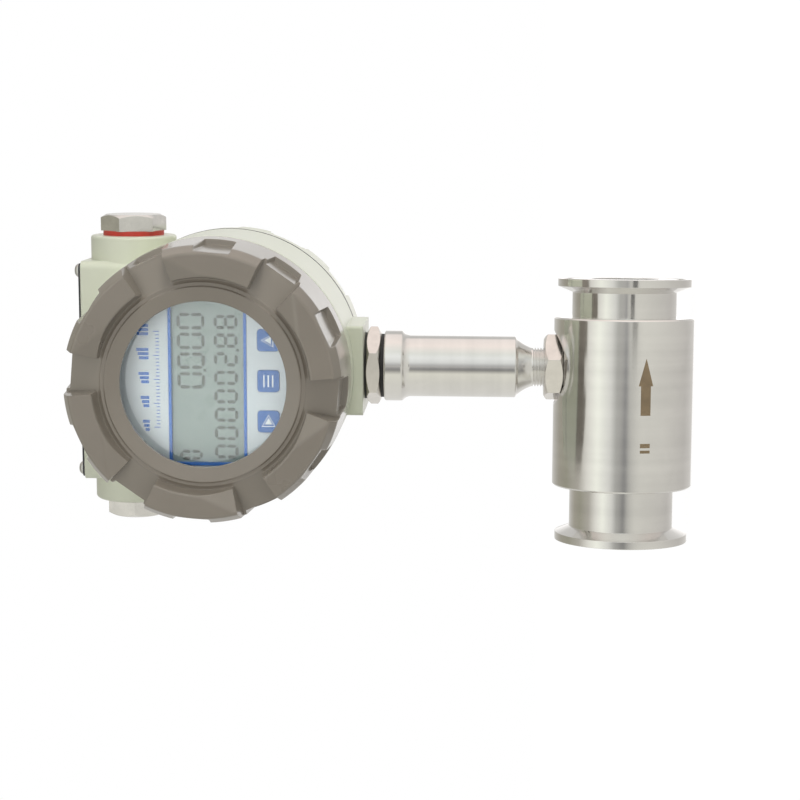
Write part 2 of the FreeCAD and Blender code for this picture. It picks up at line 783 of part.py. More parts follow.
def makeCover(label, start, depth, glazed, turn):
    """Screwed cover: thread spigot, skirt with gripping notches, and raised lugs in front.
    start is its shoulder along the head axis; the front one is open for the window."""
    body = newBody(label.title().replace("_", ""))
    outer = d.cover_diameter / 2
    spigot = d.cover_thread_diameter / 2 - d.swivel_clearance
    inner = spigot - d.spigot_wall
    top = start + depth
    valley = top - d.lug_height
    ridge = valley + d.face_drop
    edge = 0.8
    tail = start - d.spigot_length

    def skirtRadius(height):
        return outer - (height - start) * d.skirt_slope

    rim = skirtRadius(valley)
    skirt = [
        (inner, tail), (spigot - edge, tail), (spigot, tail + edge), (spigot, start),
        (outer - edge / 2, start), (outer, start + edge / 2), (rim, valley - edge),
        (rim - edge, valley), (d.face_ridge_radius + edge / 2, ridge - edge / 2),
        (d.face_ridge_radius, ridge), (d.face_ring_radius + edge / 2, ridge),
        (d.face_ring_radius, ridge + d.face_ring_rise)]
    if glazed:
        window = d.window_diameter / 2
        seat = top - d.window_seat
        pane = d.glass_diameter / 2 + d.running_clearance * 4
        ledge = seat - d.gasket_thickness - d.glass_thickness - d.ring_thickness - edge / 2
        middle = [
            (window, ridge - d.face_ring_rise), (window, seat), (pane, seat), (pane, ledge),
            (inner, ledge)]
    else:
        ceiling = valley - d.face_wall
        middle = [(0, ridge + d.face_ring_rise), (0, ceiling), (inner, ceiling)]
    profile = newSketch(body, "XZ_Plane")
    outline(profile, skirt + middle)
    revolve(body, profile, "V_Axis")
    # one lug, its slanted end, and the ring of them
    lug = newSketch(body, "XZ_Plane")
    sunk = 2.0
    outline(lug, [
        (d.lug_inner_radius, valley - sunk), (skirtRadius(valley - sunk), valley - sunk),
        (skirtRadius(top - d.lug_bevel), top - d.lug_bevel), (d.lug_flat_radius, top),
        (d.lug_inner_radius, top)])
    raised = revolve(body, lug, "V_Axis", angle=d.lug_span, midplane=True)
    polar(body, [raised], lug, "V_Axis", d.lug_count)
    facet = body.newObject("PartDesign::SubtractiveBox", "Facet")
    bind(facet, "Length", facet_length)
    bind(facet, "Width", facet_width)
    bind(facet, "Height", d.lug_height * 1.4)
    facet.Placement = facetPlace(top)
    polar(body, [facet], lug, "V_Axis", d.lug_count)
    # gripping notches in the skirt, one at each lug and one between
    notch = newSketch(body, "XZ_Plane")
    low = start + d.notch_rim
    high = top + edge
    outline(notch, [
        (outer + edge, low), (outer + edge, high), (skirtRadius(high) - d.notch_depth, high),
        (skirtRadius(low) - d.notch_depth, low)])
    first = pocket(body, notch, d.notch_width, midplane=True)
    polar(body, [first], lug, "V_Axis", d.lug_count * 2)
    spin = FreeCAD.Rotation(FreeCAD.Vector(0, 0, 1), d.lug_phase.number)
    onHead(body, turn.multiply(spin))
    return keep(body, label)


facet_length = d.cover_diameter / 3
facet_width = facet_length * 0.29
facet_overhang = facet_length / 16


def facetPlace(top):
    """Where the box stands whose floor slopes one lug's face: the floor goes through the
    lug's outer corner, a point half way along its inner edge and a low point at its inner
    corner."""
    half = math.radians(d.lug_span.number / 2)
    flat = d.lug_flat_radius.number
    inner = d.lug_inner_radius.number
    height = top.number
    fall = d.lug_height.number * 0.4
    middle = FreeCAD.Vector(inner * math.cos(half * 0.11), -inner * math.sin(half * 0.11), height)
    tip = FreeCAD.Vector(flat * math.cos(half), flat * math.sin(half), height)
    low = FreeCAD.Vector(inner * math.cos(half), inner * math.sin(half), height - fall)
    along = (tip - middle).normalize()
    up = along.cross(low - middle).normalize()
    across = up.cross(along)
    lead = facet_length.number / 5
    corner = middle - along * lead - across * facet_overhang.number
    return FreeCAD.Placement(corner, FreeCAD.Rotation(along, across, up, "ZXY"))


def makeDisc(label, start, thickness, outer, inner=None, turn=FreeCAD.Rotation()):
    """A flat ring or disc on the head axis."""
    body = newBody(label.title().replace("_", ""))
    face = newSketch(body, "XY_Plane", start)
    circle(face, 0, 0, outer)
    if inner is not None:
        circle(face, 0, 0, inner)
    pad(body, face, thickness)
    onHead(body, turn)
    return keep(body, label)


def group(label, things):
    """Several solids of the head that share one node."""
    together = doc.addObject("Part::Compound", label.title().replace("_", ""))
    together.Links = things
    onHead(together)
    return keep(together, label)


def standoffPlaces():
    """Where the display stack is pillared, evenly round the head axis."""
    count = int(sizes["standoff_count"])
    places = []
    for index in range(count):
        angle = f"{(index + 0.5) * full_turn / count:.4f}"
        turn = math.radians((index + 0.5) * full_turn / count)
        across = d.standoff_radius * Size(f"cos({angle} deg)", math.cos(turn))
        up = d.standoff_radius * Size(f"sin({angle} deg)", math.sin(turn))
        places.append((across, up))
    return places


def keyPlaces():
    return [("key_up", d.key_pitch), ("key_menu", 0),
            ("key_next", -d.key_pitch)]


panel_back = d.panel_height - d.panel_thickness
board_top = d.board_height + d.board_thickness
screw_hole = 1.5


def makePanel():
    body = newBody("DisplayPanel")
    face = newSketch(body, "XY_Plane", panel_back)
    circle(face, 0, 0, d.panel_diameter / 2)
    gap = d.key_clearance
    rectangle(face, 0, d.lcd_shift, d.lcd_frame_length + gap, d.lcd_frame_height + gap)
    for label, x in keyPlaces():
        roundedRectangle(face, x, -d.key_drop, d.key_size + 2 * gap, d.key_size + 2 * gap,
                         d.key_corner + gap)
    for x, y in standoffPlaces():
        circle(face, x, y, screw_hole)
    pad(body, face, d.panel_thickness)
    onHead(body)
    return keep(body, "display_panel")


def makeLcd():
    """Frame let into the panel, the glass behind it, and the block that lights it."""
    frame = newBody("LcdFrame")
    band = newSketch(frame, "XY_Plane", panel_back)
    gap = d.fixed_clearance
    length = d.lcd_frame_length - gap
    height = d.lcd_frame_height - gap
    roundedRectangle(band, 0, d.lcd_shift, length, height, d.lcd_frame_band * 2)
    roundedRectangle(band, 0, d.lcd_shift, length - 2 * d.lcd_frame_band,
                     height - 2 * d.lcd_frame_band, d.lcd_frame_band)
    pad(frame, band, d.panel_thickness + d.lcd_frame_proud)
    keep(onHead(frame), "lcd_frame")
    glass = newBody("LcdGlass")
    plate = newSketch(glass, "XY_Plane", panel_back - d.lcd_glass_thickness)
    rectangle(plate, 0, d.lcd_shift, d.lcd_frame_length + 2, d.lcd_frame_height + 2)
    pad(glass, plate, d.lcd_glass_thickness)
    keep(onHead(glass), "lcd_glass")
    light = newBody("LcdBacklight")
    block = newSketch(light, "XY_Plane", board_top)
    rectangle(block, 0, d.lcd_shift, d.lcd_frame_length, d.lcd_frame_height)
    pad(light, block, panel_back - d.lcd_glass_thickness - board_top)
    keep(onHead(light), "lcd_backlight")


def makeBoard():
    body = newBody("DisplayBoard")
    face = newSketch(body, "XY_Plane", d.board_height)
    circle(face, 0, 0, d.board_diameter / 2)
    for x, y in standoffPlaces():
        circle(face, x, y, screw_hole)
    pad(body, face, d.board_thickness)
    onHead(body)
    return keep(body, "display_board")


def makePillars(label, base, height):
    posts = []
    for x, y in standoffPlaces():
        bar = hexPiece(label.title().replace("_", ""), d.standoff_across, height)
        hole = cylinder("PillarHole", screw_hole, height)
        post = cut("Pillar", bar, hole)
        place(post, x=x, y=y, z=base)
        posts.append(post)
    return group(label, posts)


def makeScrew(name, head, rise, shank, length):
    """Pan head screw along Z, its head's underside at zero."""
    body = newBody(name)
    radius = head / 2
    stem = shank / 2
    profile = newSketch(body, "XZ_Plane")
    crown = radius * 0.55
    outline(profile, [
        (0, -length), (stem, -length), (stem, 0), (radius, 0),
        (radius, rise * 0.25), (crown, rise, radius * 0.75), (0, rise)])
    revolve(body, profile, "V_Axis")
    return body


def makeKey(label, x):
    """Key cap: a rounded square through the panel, held from behind by its flange."""
    body = newBody(label.title().replace("_", ""))
    flange_top = panel_back - d.fixed_clearance
    flange = newSketch(body, "XY_Plane", flange_top - d.key_flange)
    roundedRectangle(flange, x, -d.key_drop, d.key_size + 2 * d.key_flange,
                     d.key_size + 2 * d.key_flange, d.key_corner)
    pad(body, flange, d.key_flange)
    cap = newSketch(body, "XY_Plane", flange_top - d.key_flange)
    roundedRectangle(cap, x, -d.key_drop, d.key_size, d.key_size, d.key_corner)
    pad(body, cap, d.key_flange + d.fixed_clearance + d.panel_thickness + d.key_proud)
    onHead(body)
    return keep(body, label)


def makeSwitches():
    """Three push switches on the board, each under its key."""
    things = []
    plunger_top = panel_back - d.fixed_clearance - d.key_flange - d.key_travel - 0.1
    for label, x in keyPlaces():
        base = doc.addObject("Part::Box", "SwitchBase")
        bind(base, "Length", d.switch_size)
        bind(base, "Width", d.switch_size)
        bind(base, "Height", d.switch_height)
        place(base, x=x - d.switch_size / 2, y=-d.key_drop - d.switch_size / 2, z=board_top)
        stalk = cylinder("SwitchStalk", d.switch_size * 0.29, plunger_top - board_top,
                         x=x, y=-d.key_drop, z=board_top)
        things.append(fuse("Switch", [base, stalk]))
    return group("key_switches", things)


def makeTerminals():
    """Barrier terminal block on the rear of the partition, with its clamp screws."""
    block = newBody("TerminalBlock")
    half_wall = d.partition_thickness / 2
    face = newSketch(block, "XY_Plane", -half_wall)
    rectangle(face, 0, 0, d.terminal_length, d.terminal_height)
    pad(block, face, d.terminal_depth, backwards=True)
    count = int(sizes["terminal_count"])
    pitch = d.terminal_length / (d.terminal_count + 0.5)
    well_depth = d.terminal_depth * 0.35
    radius = d.terminal_screw / 2
    wells = newSketch(block, "XY_Plane", -half_wall - d.terminal_depth)
    mouths = newSketch(block, "XY_Plane", -half_wall - d.terminal_depth)
    places = [(index - (count - 1) / 2) * pitch for index in range(count)]
    for x in places:
        circle(wells, x, d.terminal_height * 0.12, radius + d.key_clearance)
        rectangle(mouths, x, -d.terminal_height / 2 + radius * 0.6, pitch * 0.62, radius * 1.2)
    pocket(block, wells, well_depth, backwards=True)
    pocket(block, mouths, d.terminal_depth * 0.6, backwards=True)
    keep(onHead(block), "terminal_block")
    screws = []
    head = well_depth * 0.6
    seat = -half_wall - d.terminal_depth + well_depth
    for x in places:
        disc = cylinder("ClampHead", radius, head, x=x, y=d.terminal_height * 0.12,
                        z=seat - head)
        slot = doc.addObject("Part::Box", "ClampSlot")
        bind(slot, "Length", radius * 2)
        bind(slot, "Width", radius * 0.35)
        bind(slot, "Height", head * 0.5)
        place(slot, x=x - radius, y=d.terminal_height * 0.12 - radius * 0.175, z=seat - head)
        screws.append(cut("ClampScrew", disc, slot))
    group("terminal_screws", screws)


def makeLabel():
    """Blank black plate on the conduit box, and its four screws."""
    body = newBody("BlankPlate")
    face = newSketch(body, "XZ_Plane", -d.box_top)
    roundedRectangle(face, d.conduit_shift, 0, (d.box_reach - d.label_margin) * 2,
                     d.box_depth - d.label_margin * 2, d.box_corner - d.label_margin)
    for x, y in labelScrewPlaces():
        circle(face, x, y, d.label_screw_shank / 2 + d.fixed_clearance)
    pad(body, face, d.label_thickness, backwards=True)
    keep(onHead(body), "blank_plate")
    upward = FreeCAD.Rotation(FreeCAD.Vector(1, 0, 0), -90)
    screws = []
    for x, depth in labelScrewPlaces():
        screw = makeScrew("PlateScrew", d.label_screw_head, d.label_screw_rise,
                          d.label_screw_shank, label_screw_length)
        place(screw, x=x, y=d.box_top + d.label_thickness, z=depth, turn=upward)
        screws.append(screw)
    group("plate_screws", screws)


def makePlug(label, side, plug_turn, washer_label, washer):
    """Hexagon blanking plug with its washer, in one end of the conduit box."""
    turn = along_flow if side > 0 else against_flow
    face = d.conduit_shift + side * d.conduit_hub_reach
    spigot = d.conduit_hole_diameter / 2 - d.fixed_clearance
    name = label.title().replace("_", "")
    hexagon = hexPiece(name + "Hex", d.plug_across, d.plug_height, chamfer_ends=1,
                       turn=plug_turn)
    thread = cylinder(name + "Thread", spigot, d.plug_spigot + washer,
                      z=-(d.plug_spigot + washer))
    plug = fuse(name + "Solid", [hexagon, thread])
    place(plug, x=face + side * washer, y=d.conduit_height, turn=turn)
    group(label, [plug])
    ring = cut(name + "Washer",
               cylinder(name + "Disc", d.washer_diameter / 2, washer),
               cylinder(name + "Hole", spigot + d.fixed_clearance, washer))
    place(ring, x=face, y=d.conduit_height, turn=turn)
    group(washer_label, [ring])


# --- meter body and what is in its bore
makeMeterBody()
makeStraightener("inlet_straightener", inlet_hub_end, d.guide_length_inlet, -1)
makeStraightener("outlet_straightener", outlet_hub_end, d.guide_length_outlet, 1)
makeBearing("inlet_bearing", inlet_hub_end - d.bearing_length)
makeBearing("outlet_bearing", outlet_hub_end)
makeCirclip("inlet_circlip", circlip_inlet)
makeCirclip("outlet_circlip", circlip_outlet)
makeRotor()
makeShaft()

# --- stem, its nuts, and the pickup inside it
stem_hole = d.stem_bore_diameter / 2
stem_floor = pickup_floor + d.stem_nose_gap + d.stem_nose_wall
coil_hole = d.pole_diameter / 2 + d.fixed_clearance
makeStem()
makeNut("stem_lock_nut", d.stem_nut_across, d.stem_nut_height, stem_thread,
        spot_face, d.stem_nut_turn)
makeNut("head_lock_nut", d.head_nut_across, d.head_nut_height, head_thread,
        head_nut_base, d.head_nut_turn)
makeTurned("stem_seal", d.stem_seal_thickness, stem_seal_base,
           d.head_nut_across * 0.48, head_thread + d.fixed_clearance)
makeTurned("pickup_pole", d.pole_length, stem_floor, d.pole_diameter / 2)
makeTurned("pickup_coil", d.coil_length, stem_floor, d.coil_diameter / 2, coil_hole)
makeTurned("pickup_magnet", d.magnet_length, stem_floor + d.pole_length, d.magnet_diameter / 2)

# --- head housing, its blank plate and conduit plugs
makeHousing()
makeLabel()
makePlug("outlet_side_plug", 1, d.outlet_plug_turn, "red_washer", d.red_washer_thickness)
makePlug("inlet_side_plug", -1, d.inlet_plug_turn, "dark_washer", d.dark_washer_thickness)

# --- screwed covers, window and seals
facing = FreeCAD.Rotation()
reversed_axis = FreeCAD.Rotation(FreeCAD.Vector(0, 1, 0), 180)
front_start = d.barrel_front + d.cover_joint
rear_start = d.barrel_rear + d.cover_joint
seal_inner = d.cover_thread_diameter / 2 + d.seal_clearance
seal_thickness = d.cover_joint - 2 * d.seal_clearance
glass_seat = front_start + d.front_cover_depth - d.window_seat
pane_bottom = glass_seat - d.gasket_thickness - d.glass_thickness
pane = d.glass_diameter / 2
makeCover("front_cover", front_start, d.front_cover_depth, True, facing)
makeCover("rear_cover", rear_start, d.rear_cover_depth, False, reversed_axis)
makeDisc("front_seal", d.barrel_front + d.seal_clearance, seal_thickness,
         d.barrel_diameter / 2 - 1.5, seal_inner)
makeDisc("rear_seal", d.barrel_rear + d.seal_clearance, seal_thickness,
         d.barrel_diameter / 2 - 0.1, seal_inner, turn=reversed_axis)
makeDisc("window_gasket", glass_seat - d.gasket_thickness, d.gasket_thickness, pane,
         pane - d.gasket_width)
makeDisc("window_glass", pane_bottom, d.glass_thickness, pane)
makeDisc("window_ring", pane_bottom - d.ring_thickness, d.ring_thickness, pane,
         pane - d.ring_width)

# --- display stack in the front compartment, terminals in the rear one
wall_face = d.partition_thickness / 2
makePillars("board_pillars", wall_face, d.board_height - wall_face)
makeBoard()
makePillars("panel_pillars", board_top, panel_back - board_top)
makePanel()
makeLcd()
panel_screws = []
for screw_x, screw_y in standoffPlaces():
    panel_screw = makeScrew("PanelScrew", d.panel_screw_head, d.panel_screw_rise,
                            d.panel_screw_shank, d.panel_screw_length)
    place(panel_screw, x=screw_x, y=screw_y, z=d.panel_height)
    panel_screws.append(panel_screw)
group("panel_screws", panel_screws)
for key_label, key_x in keyPlaces():
    makeKey(key_label, key_x)
makeSwitches()
makeTerminals()

# --- check every object, then write each sub-part
doc.recompute()
for thing in doc.Objects:
    if "Invalid" in thing.State or "Error" in thing.State:
        raise RuntimeError(f"{thing.Label} failed: {thing.State}")
for node in nodes:
    if node.Shape.isNull() or not node.Shape.isValid():
        raise RuntimeError(f"{node.Label} has no valid shape")
for node in nodes:
    node.Shape.exportStep(f"parts/{node.Label}.step")
    print(node.Label, len(node.Shape.Solids), round(node.Shape.Volume, 1))
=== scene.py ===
import json
import math

import bmesh
import bpy
import numpy as np
from mathutils import Matrix, Vector


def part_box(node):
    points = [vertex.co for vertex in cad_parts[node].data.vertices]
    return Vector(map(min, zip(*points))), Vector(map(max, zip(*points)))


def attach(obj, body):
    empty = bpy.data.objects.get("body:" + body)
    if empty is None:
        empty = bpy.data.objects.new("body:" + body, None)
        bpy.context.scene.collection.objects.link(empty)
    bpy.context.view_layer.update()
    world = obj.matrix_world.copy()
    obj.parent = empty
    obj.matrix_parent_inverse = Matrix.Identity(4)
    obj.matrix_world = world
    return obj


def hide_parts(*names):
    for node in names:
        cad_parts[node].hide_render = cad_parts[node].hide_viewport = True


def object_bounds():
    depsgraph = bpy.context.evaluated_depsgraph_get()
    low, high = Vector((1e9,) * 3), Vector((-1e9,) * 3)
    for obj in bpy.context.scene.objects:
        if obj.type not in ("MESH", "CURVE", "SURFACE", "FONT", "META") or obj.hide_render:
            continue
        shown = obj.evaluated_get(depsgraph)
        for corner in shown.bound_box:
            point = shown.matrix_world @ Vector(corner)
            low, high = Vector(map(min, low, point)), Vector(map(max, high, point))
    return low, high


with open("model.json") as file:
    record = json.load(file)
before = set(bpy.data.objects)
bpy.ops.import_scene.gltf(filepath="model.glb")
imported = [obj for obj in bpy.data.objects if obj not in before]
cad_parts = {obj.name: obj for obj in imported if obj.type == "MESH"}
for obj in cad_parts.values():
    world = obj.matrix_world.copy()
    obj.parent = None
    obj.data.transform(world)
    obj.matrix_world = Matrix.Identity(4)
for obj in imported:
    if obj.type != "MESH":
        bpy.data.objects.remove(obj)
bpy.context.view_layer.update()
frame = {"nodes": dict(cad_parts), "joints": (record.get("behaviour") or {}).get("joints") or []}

nodes = frame["nodes"]
print("frame loaded:", len(nodes), "nodes")

# where things are
joints = {joint["name"]: joint for joint in frame["joints"]}
stemPlace = joints["head_swivel"]["pos_m"][0]
mm = 0.001
headOrigin = np.array(joints["front_cover_turn"]["pos_m"]) / mm
outward = np.array(joints["front_cover_turn"]["axis"])
headAxes = np.array([[-outward[1], outward[0], 0], [0, 0, 1], outward])


# helpers for materials
def blankMaterial(name):
    material = bpy.data.materials.new(name)
    material.use_nodes = True
    tree = material.node_tree
    shader = next(n for n in tree.nodes if n.type == "BSDF_PRINCIPLED")
    return material, tree, shader


# A node with its settings and inputs; an input that is a socket is linked.
def addNode(tree, kind, inputs=None, **settings):
    node = tree.nodes.new(kind)
    for key, value in settings.items():
        setattr(node, key, value)
    for key, value in (inputs or {}).items():
        if isinstance(value, bpy.types.NodeSocket):
            tree.links.new(value, node.inputs[key])
        else:
            node.inputs[key].default_value = value
    return node


def ramp(tree, factor, stops):
    node = addNode(tree, "ShaderNodeValToRGB", {0: factor})
    band = node.color_ramp
    while len(band.elements) < len(stops):
        band.elements.new(0.5)
    for element, (place, colour) in zip(band.elements, stops):
        element.position = place
        element.color = (*colour, 1) if len(colour) == 3 else colour
    return node.outputs[0]


# A noise value, mostly 0.3 to 0.7, stretched to low..high.
def spread(tree, factor, low, high):
    node = addNode(tree, "ShaderNodeMapRange",
                   {0: factor, 1: 0.3, 2: 0.7, 3: low, 4: high})
    return node.outputs[0]


def objectPlace(tree, scale=(1, 1, 1), centre=(0, 0, 0)):
    place = addNode(tree, "ShaderNodeTexCoord").outputs["Object"]
    return addNode(tree, "ShaderNodeMapping",
                   {"Vector": place, "Location": [-c * s for c, s in zip(centre, scale)],
                    "Scale": scale}).outputs[0]


def noise(tree, vector, scale, detail=2.0, rough=0.5, distortion=0.0):
    return addNode(tree, "ShaderNodeTexNoise",
                   {"Vector": vector, "Scale": scale, "Detail": detail, "Roughness": rough,
                    "Distortion": distortion}).outputs[0]


# Small bumps; edge is the radius of the soft rounding that the light sees at corners.
def relief(tree, shader, height, distance, edge=0.0):
    bump = addNode(tree, "ShaderNodeBump", {"Height": height, "Distance": distance,
                                            "Strength": 1.0})
    if edge:
        soft = addNode(tree, "ShaderNodeBevel", {"Radius": edge}, samples=6)
        tree.links.new(soft.outputs[0], bump.inputs["Normal"])
    tree.links.new(bump.outputs[0], shader.inputs["Normal"])


# The CAD pieces keep their meshes and only get a material.
def dress(material, *names):
    for name in names:
        mesh = nodes[name].data
        mesh.materials.clear()
        mesh.materials.append(material)


# finishes
turnedSteel = {"colour": (0.80, 0.79, 0.775), "rough": (0.09, 0.17), "lines": 2600.0,
               "lineHeight": 0.0000016, "anisotropic": 0.45, "edge": 0.0003}


# Turned stainless steel: fine rings that follow the distance along the axis and from it,
# with faint smears in colour and gloss.
def makeTurnedSteel(name, axis, centre=(0, 0, 0), settings=turnedSteel):
    material, tree, shader = blankMaterial(name)
    place = objectPlace(tree, centre=centre)
    parts = addNode(tree, "ShaderNodeSeparateXYZ", {0: place})
    along = parts.outputs[axis]
    others = [parts.outputs[i] for i in range(3) if i != axis]
    flat = addNode(tree, "ShaderNodeCombineXYZ", {0: others[0], 1: others[1]})
    radius = addNode(tree, "ShaderNodeVectorMath", {0: flat.outputs[0]}, operation="LENGTH")
    rings = addNode(tree, "ShaderNodeCombineXYZ", {0: along, 1: radius.outputs["Value"]})
    fine = noise(tree, rings.outputs[0], settings["lines"], 3, 0.65)
    broad = noise(tree, rings.outputs[0], settings["lines"] / 14, 2, 0.5)
    smear = noise(tree, place, 55, 4, 0.6, 0.4)
    base = settings["colour"]
    low = [c * 0.93 for c in base]
    high = [min(c * 1.05, 1) for c in base]
    mixed = addNode(tree, "ShaderNodeMath", {0: smear, 1: broad}, operation="ADD")
    half = addNode(tree, "ShaderNodeMath", {0: mixed.outputs[0], 1: 0.5}, operation="MULTIPLY")
    colour = ramp(tree, half.outputs[0], [(0.36, low), (0.64, high)])
    tree.links.new(colour, shader.inputs["Base Color"])
    tree.links.new(spread(tree, half.outputs[0], *settings["rough"]), shader.inputs["Roughness"])
    shader.inputs["Metallic"].default_value = 1
    shader.inputs["Anisotropic"].default_value = settings["anisotropic"]
    shader.inputs["Anisotropic Rotation"].default_value = 0.25
    tangent = addNode(tree, "ShaderNodeTangent", direction_type="RADIAL", axis="XYZ"[axis])
    tree.links.new(tangent.outputs[0], shader.inputs["Tangent"])
    relief(tree, shader, fine, settings["lineHeight"], settings["edge"])
    return material


# Plated or milled metal: soft grain, faint patches of duller gloss.
def makeSatinMetal(name, colour, rough, grain=1500.0, height=0.0000012, edge=0.0):
    material, tree, shader = blankMaterial(name)
    place = objectPlace(tree)
    patches = noise(tree, place, 180, 4, 0.6)
    fine = noise(tree, place, grain, 3, 0.7)
    colours = ramp(tree, patches, [(0.3, [c * 0.90 for c in colour]),
                                   (0.7, [min(c * 1.05, 1) for c in colour])])
    tree.links.new(colours, shader.inputs["Base Color"])
    tree.links.new(spread(tree, patches, *rough), shader.inputs["Roughness"])
    shader.inputs["Metallic"].default_value = 1
    relief(tree, shader, fine, height, edge)
    return material


# Powder coat on a casting: orange peel, slight shade changes and tiny pits.
def makePaint(name, colour, rough, peel=900.0, height=0.000012, coat=0.2, coatRough=0.14,
              edge=0.0):
    material, tree, shader = blankMaterial(name)
    place = objectPlace(tree)
    shade = noise(tree, place, 30, 4, 0.55)
    skin = noise(tree, place, peel, 2, 0.45)
    specks = noise(tree, place, 520, 5, 0.75)
    tones = ramp(tree, shade, [(0.3, [c * 0.94 for c in colour]),
                               (0.7, [min(c * 1.04, 1) for c in colour])])
    dirt = ramp(tree, specks, [(0.24, (0.62, 0.6, 0.56)), (0.29, (1, 1, 1))])
    both = addNode(tree, "ShaderNodeMix", {0: 1.0, 6: tones, 7: dirt}, data_type="RGBA",
                   blend_type="MULTIPLY")
    tree.links.new(both.outputs[2], shader.inputs["Base Color"])
    tree.links.new(spread(tree, shade, *rough), shader.inputs["Roughness"])
    shader.inputs["Coat Weight"].default_value = coat
    shader.inputs["Coat Roughness"].default_value = coatRough
    relief(tree, shader, skin, height, edge)
    return material


# Moulded or printed plastic: an even colour with a fine matt grain.
def makePlastic(name, colour, rough, grain=1800.0, height=0.00001, change=0.06):
    material, tree, shader = blankMaterial(name)
    place = objectPlace(tree)
    shade = noise(tree, place, 120, 3, 0.5)
    fine = noise(tree, place, grain, 2, 0.5)
    tones = ramp(tree, shade, [(0.3, [c * (1 - change) for c in colour]),
                               (0.7, [min(c * (1 + change), 1) for c in colour])])
    tree.links.new(tones, shader.inputs["Base Color"])
    tree.links.new(spread(tree, shade, *rough), shader.inputs["Roughness"])
    relief(tree, shader, fine, height)
    return material


# Clear pane that lets shadow rays through, so the display behind it stays lit.
def makeGlass(name):
    material, tree, shader = blankMaterial(name)
    place = objectPlace(tree)
    smear = noise(tree, place, 70, 3, 0.6)
    shader.inputs["Base Color"].default_value = (0.97, 0.99, 0.98, 1)
    shader.inputs["Transmission Weight"].default_value = 1
    shader.inputs["IOR"].default_value = 1.5
    tree.links.new(spread(tree, smear, 0.0, 0.02), shader.inputs["Roughness"])
    clear = addNode(tree, "ShaderNodeBsdfTransparent", {0: (0.96, 0.98, 0.97, 1)})
    path = addNode(tree, "ShaderNodeLightPath")
    mix = addNode(tree, "ShaderNodeMixShader",
                  {0: path.outputs["Is Shadow Ray"], 1: shader.outputs[0], 2: clear.outputs[0]})
    out = next(n for n in tree.nodes if n.type == "OUTPUT_MATERIAL")
    tree.links.new(mix.outputs[0], out.inputs[0])
    return material


bodySteel = makeTurnedSteel("bodySteel", 0)
stemSteel = makeTurnedSteel("stemSteel", 2, (stemPlace, 0, 0))
nutSteel = makeSatinMetal("nutSteel", (0.78, 0.75, 0.72), (0.15, 0.24), edge=0.00025)
plugNickel = makeSatinMetal("plugNickel", (0.80, 0.79, 0.77), (0.08, 0.18), edge=0.0003)
creamPaint = makePaint("creamPaint", (0.69, 0.715, 0.57), (0.30, 0.42), coat=0.35, edge=0.0008)
taupePaint = makePaint("taupePaint", (0.235, 0.205, 0.165), (0.26, 0.36), 1300, coat=1.0)
blackRubber = makePlastic("blackRubber", (0.02, 0.02, 0.02), (0.5, 0.7))
redRubber = makePlastic("redRubber", (0.52, 0.045, 0.03), (0.4, 0.55))
panelFilm = makePlastic("panelFilm", (0.64, 0.69, 0.72), (0.4, 0.5), change=0.02)
frameBlue = makePlastic("frameBlue", (0.02, 0.15, 0.55), (0.35, 0.45))
lcdGrey = makePlastic("lcdGrey", (0.255, 0.315, 0.29), (0.25, 0.35), change=0.02)
lcdInk = makePlastic("lcdInk", (0.085, 0.10, 0.085), (0.3, 0.4), change=0.2)
whiteInk = makePlastic("whiteInk", (0.80, 0.84, 0.86), (0.4, 0.5), change=0.02)
laserInk = makePlastic("laserInk", (0.26, 0.19, 0.11), (0.35, 0.5), change=0.2)
keyBlue = makePlastic("keyBlue", (0.01, 0.13, 0.46), (0.35, 0.45))
boardGreen = makePlastic("boardGreen", (0.02, 0.16, 0.07), (0.4, 0.5))
softWhite = makePlastic("softWhite", (0.75, 0.75, 0.73), (0.5, 0.6))
darkPlastic = makePlastic("darkPlastic", (0.03, 0.03, 0.035), (0.4, 0.55))
terminalGrey = makePlastic("terminalGrey", (0.09, 0.10, 0.10), (0.4, 0.55))
brass = makeSatinMetal("brass", (0.62, 0.43, 0.16), (0.25, 0.4))
brightSteel = makeSatinMetal("brightSteel", (0.62, 0.62, 0.61), (0.2, 0.35))
rotorSteel = makeSatinMetal("rotorSteel", (0.45, 0.45, 0.45), (0.3, 0.45))
darkMetal = makeSatinMetal("darkMetal", (0.10, 0.10, 0.11), (0.35, 0.5))
copper = makeSatinMetal("copper", (0.55, 0.22, 0.09), (0.3, 0.45))
paneGlass = makeGlass("paneGlass")

dress(bodySteel, "meter_body")
dress(nutSteel, "stem_lock_nut", "head_lock_nut")
dress(plugNickel, "outlet_side_plug", "inlet_side_plug")
dress(creamPaint, "housing", "rear_cover")
dress(taupePaint, "front_cover")
dress(blackRubber, "stem_seal", "dark_washer", "front_seal", "rear_seal", "window_gasket")
dress(redRubber, "red_washer")
dress(paneGlass, "window_glass")
dress(panelFilm, "display_panel")
dress(frameBlue, "lcd_frame")
dress(lcdGrey, "lcd_glass")
dress(keyBlue, "key_up", "key_menu", "key_next")
dress(boardGreen, "display_board")
dress(softWhite, "lcd_backlight")
dress(darkPlastic, "key_switches", "blank_plate")
dress(terminalGrey, "terminal_block")
dress(brass, "board_pillars", "panel_pillars")
dress(brightSteel, "plate_screws", "panel_screws", "terminal_screws", "rotor_shaft",
      "inlet_straightener", "outlet_straightener")
dress(rotorSteel, "rotor")
dress(darkMetal, "inlet_bearing", "outlet_bearing", "inlet_circlip", "outlet_circlip",
      "window_ring", "pickup_pole", "pickup_magnet")
dress(copper, "pickup_coil")
print("finishes done")

# surface helpers, lengths in millimetres until a piece is placed
# Head frame to row frame: u along the display, v upwards, w out through the window.
def onHead(points):
    return headOrigin + points @ headAxes


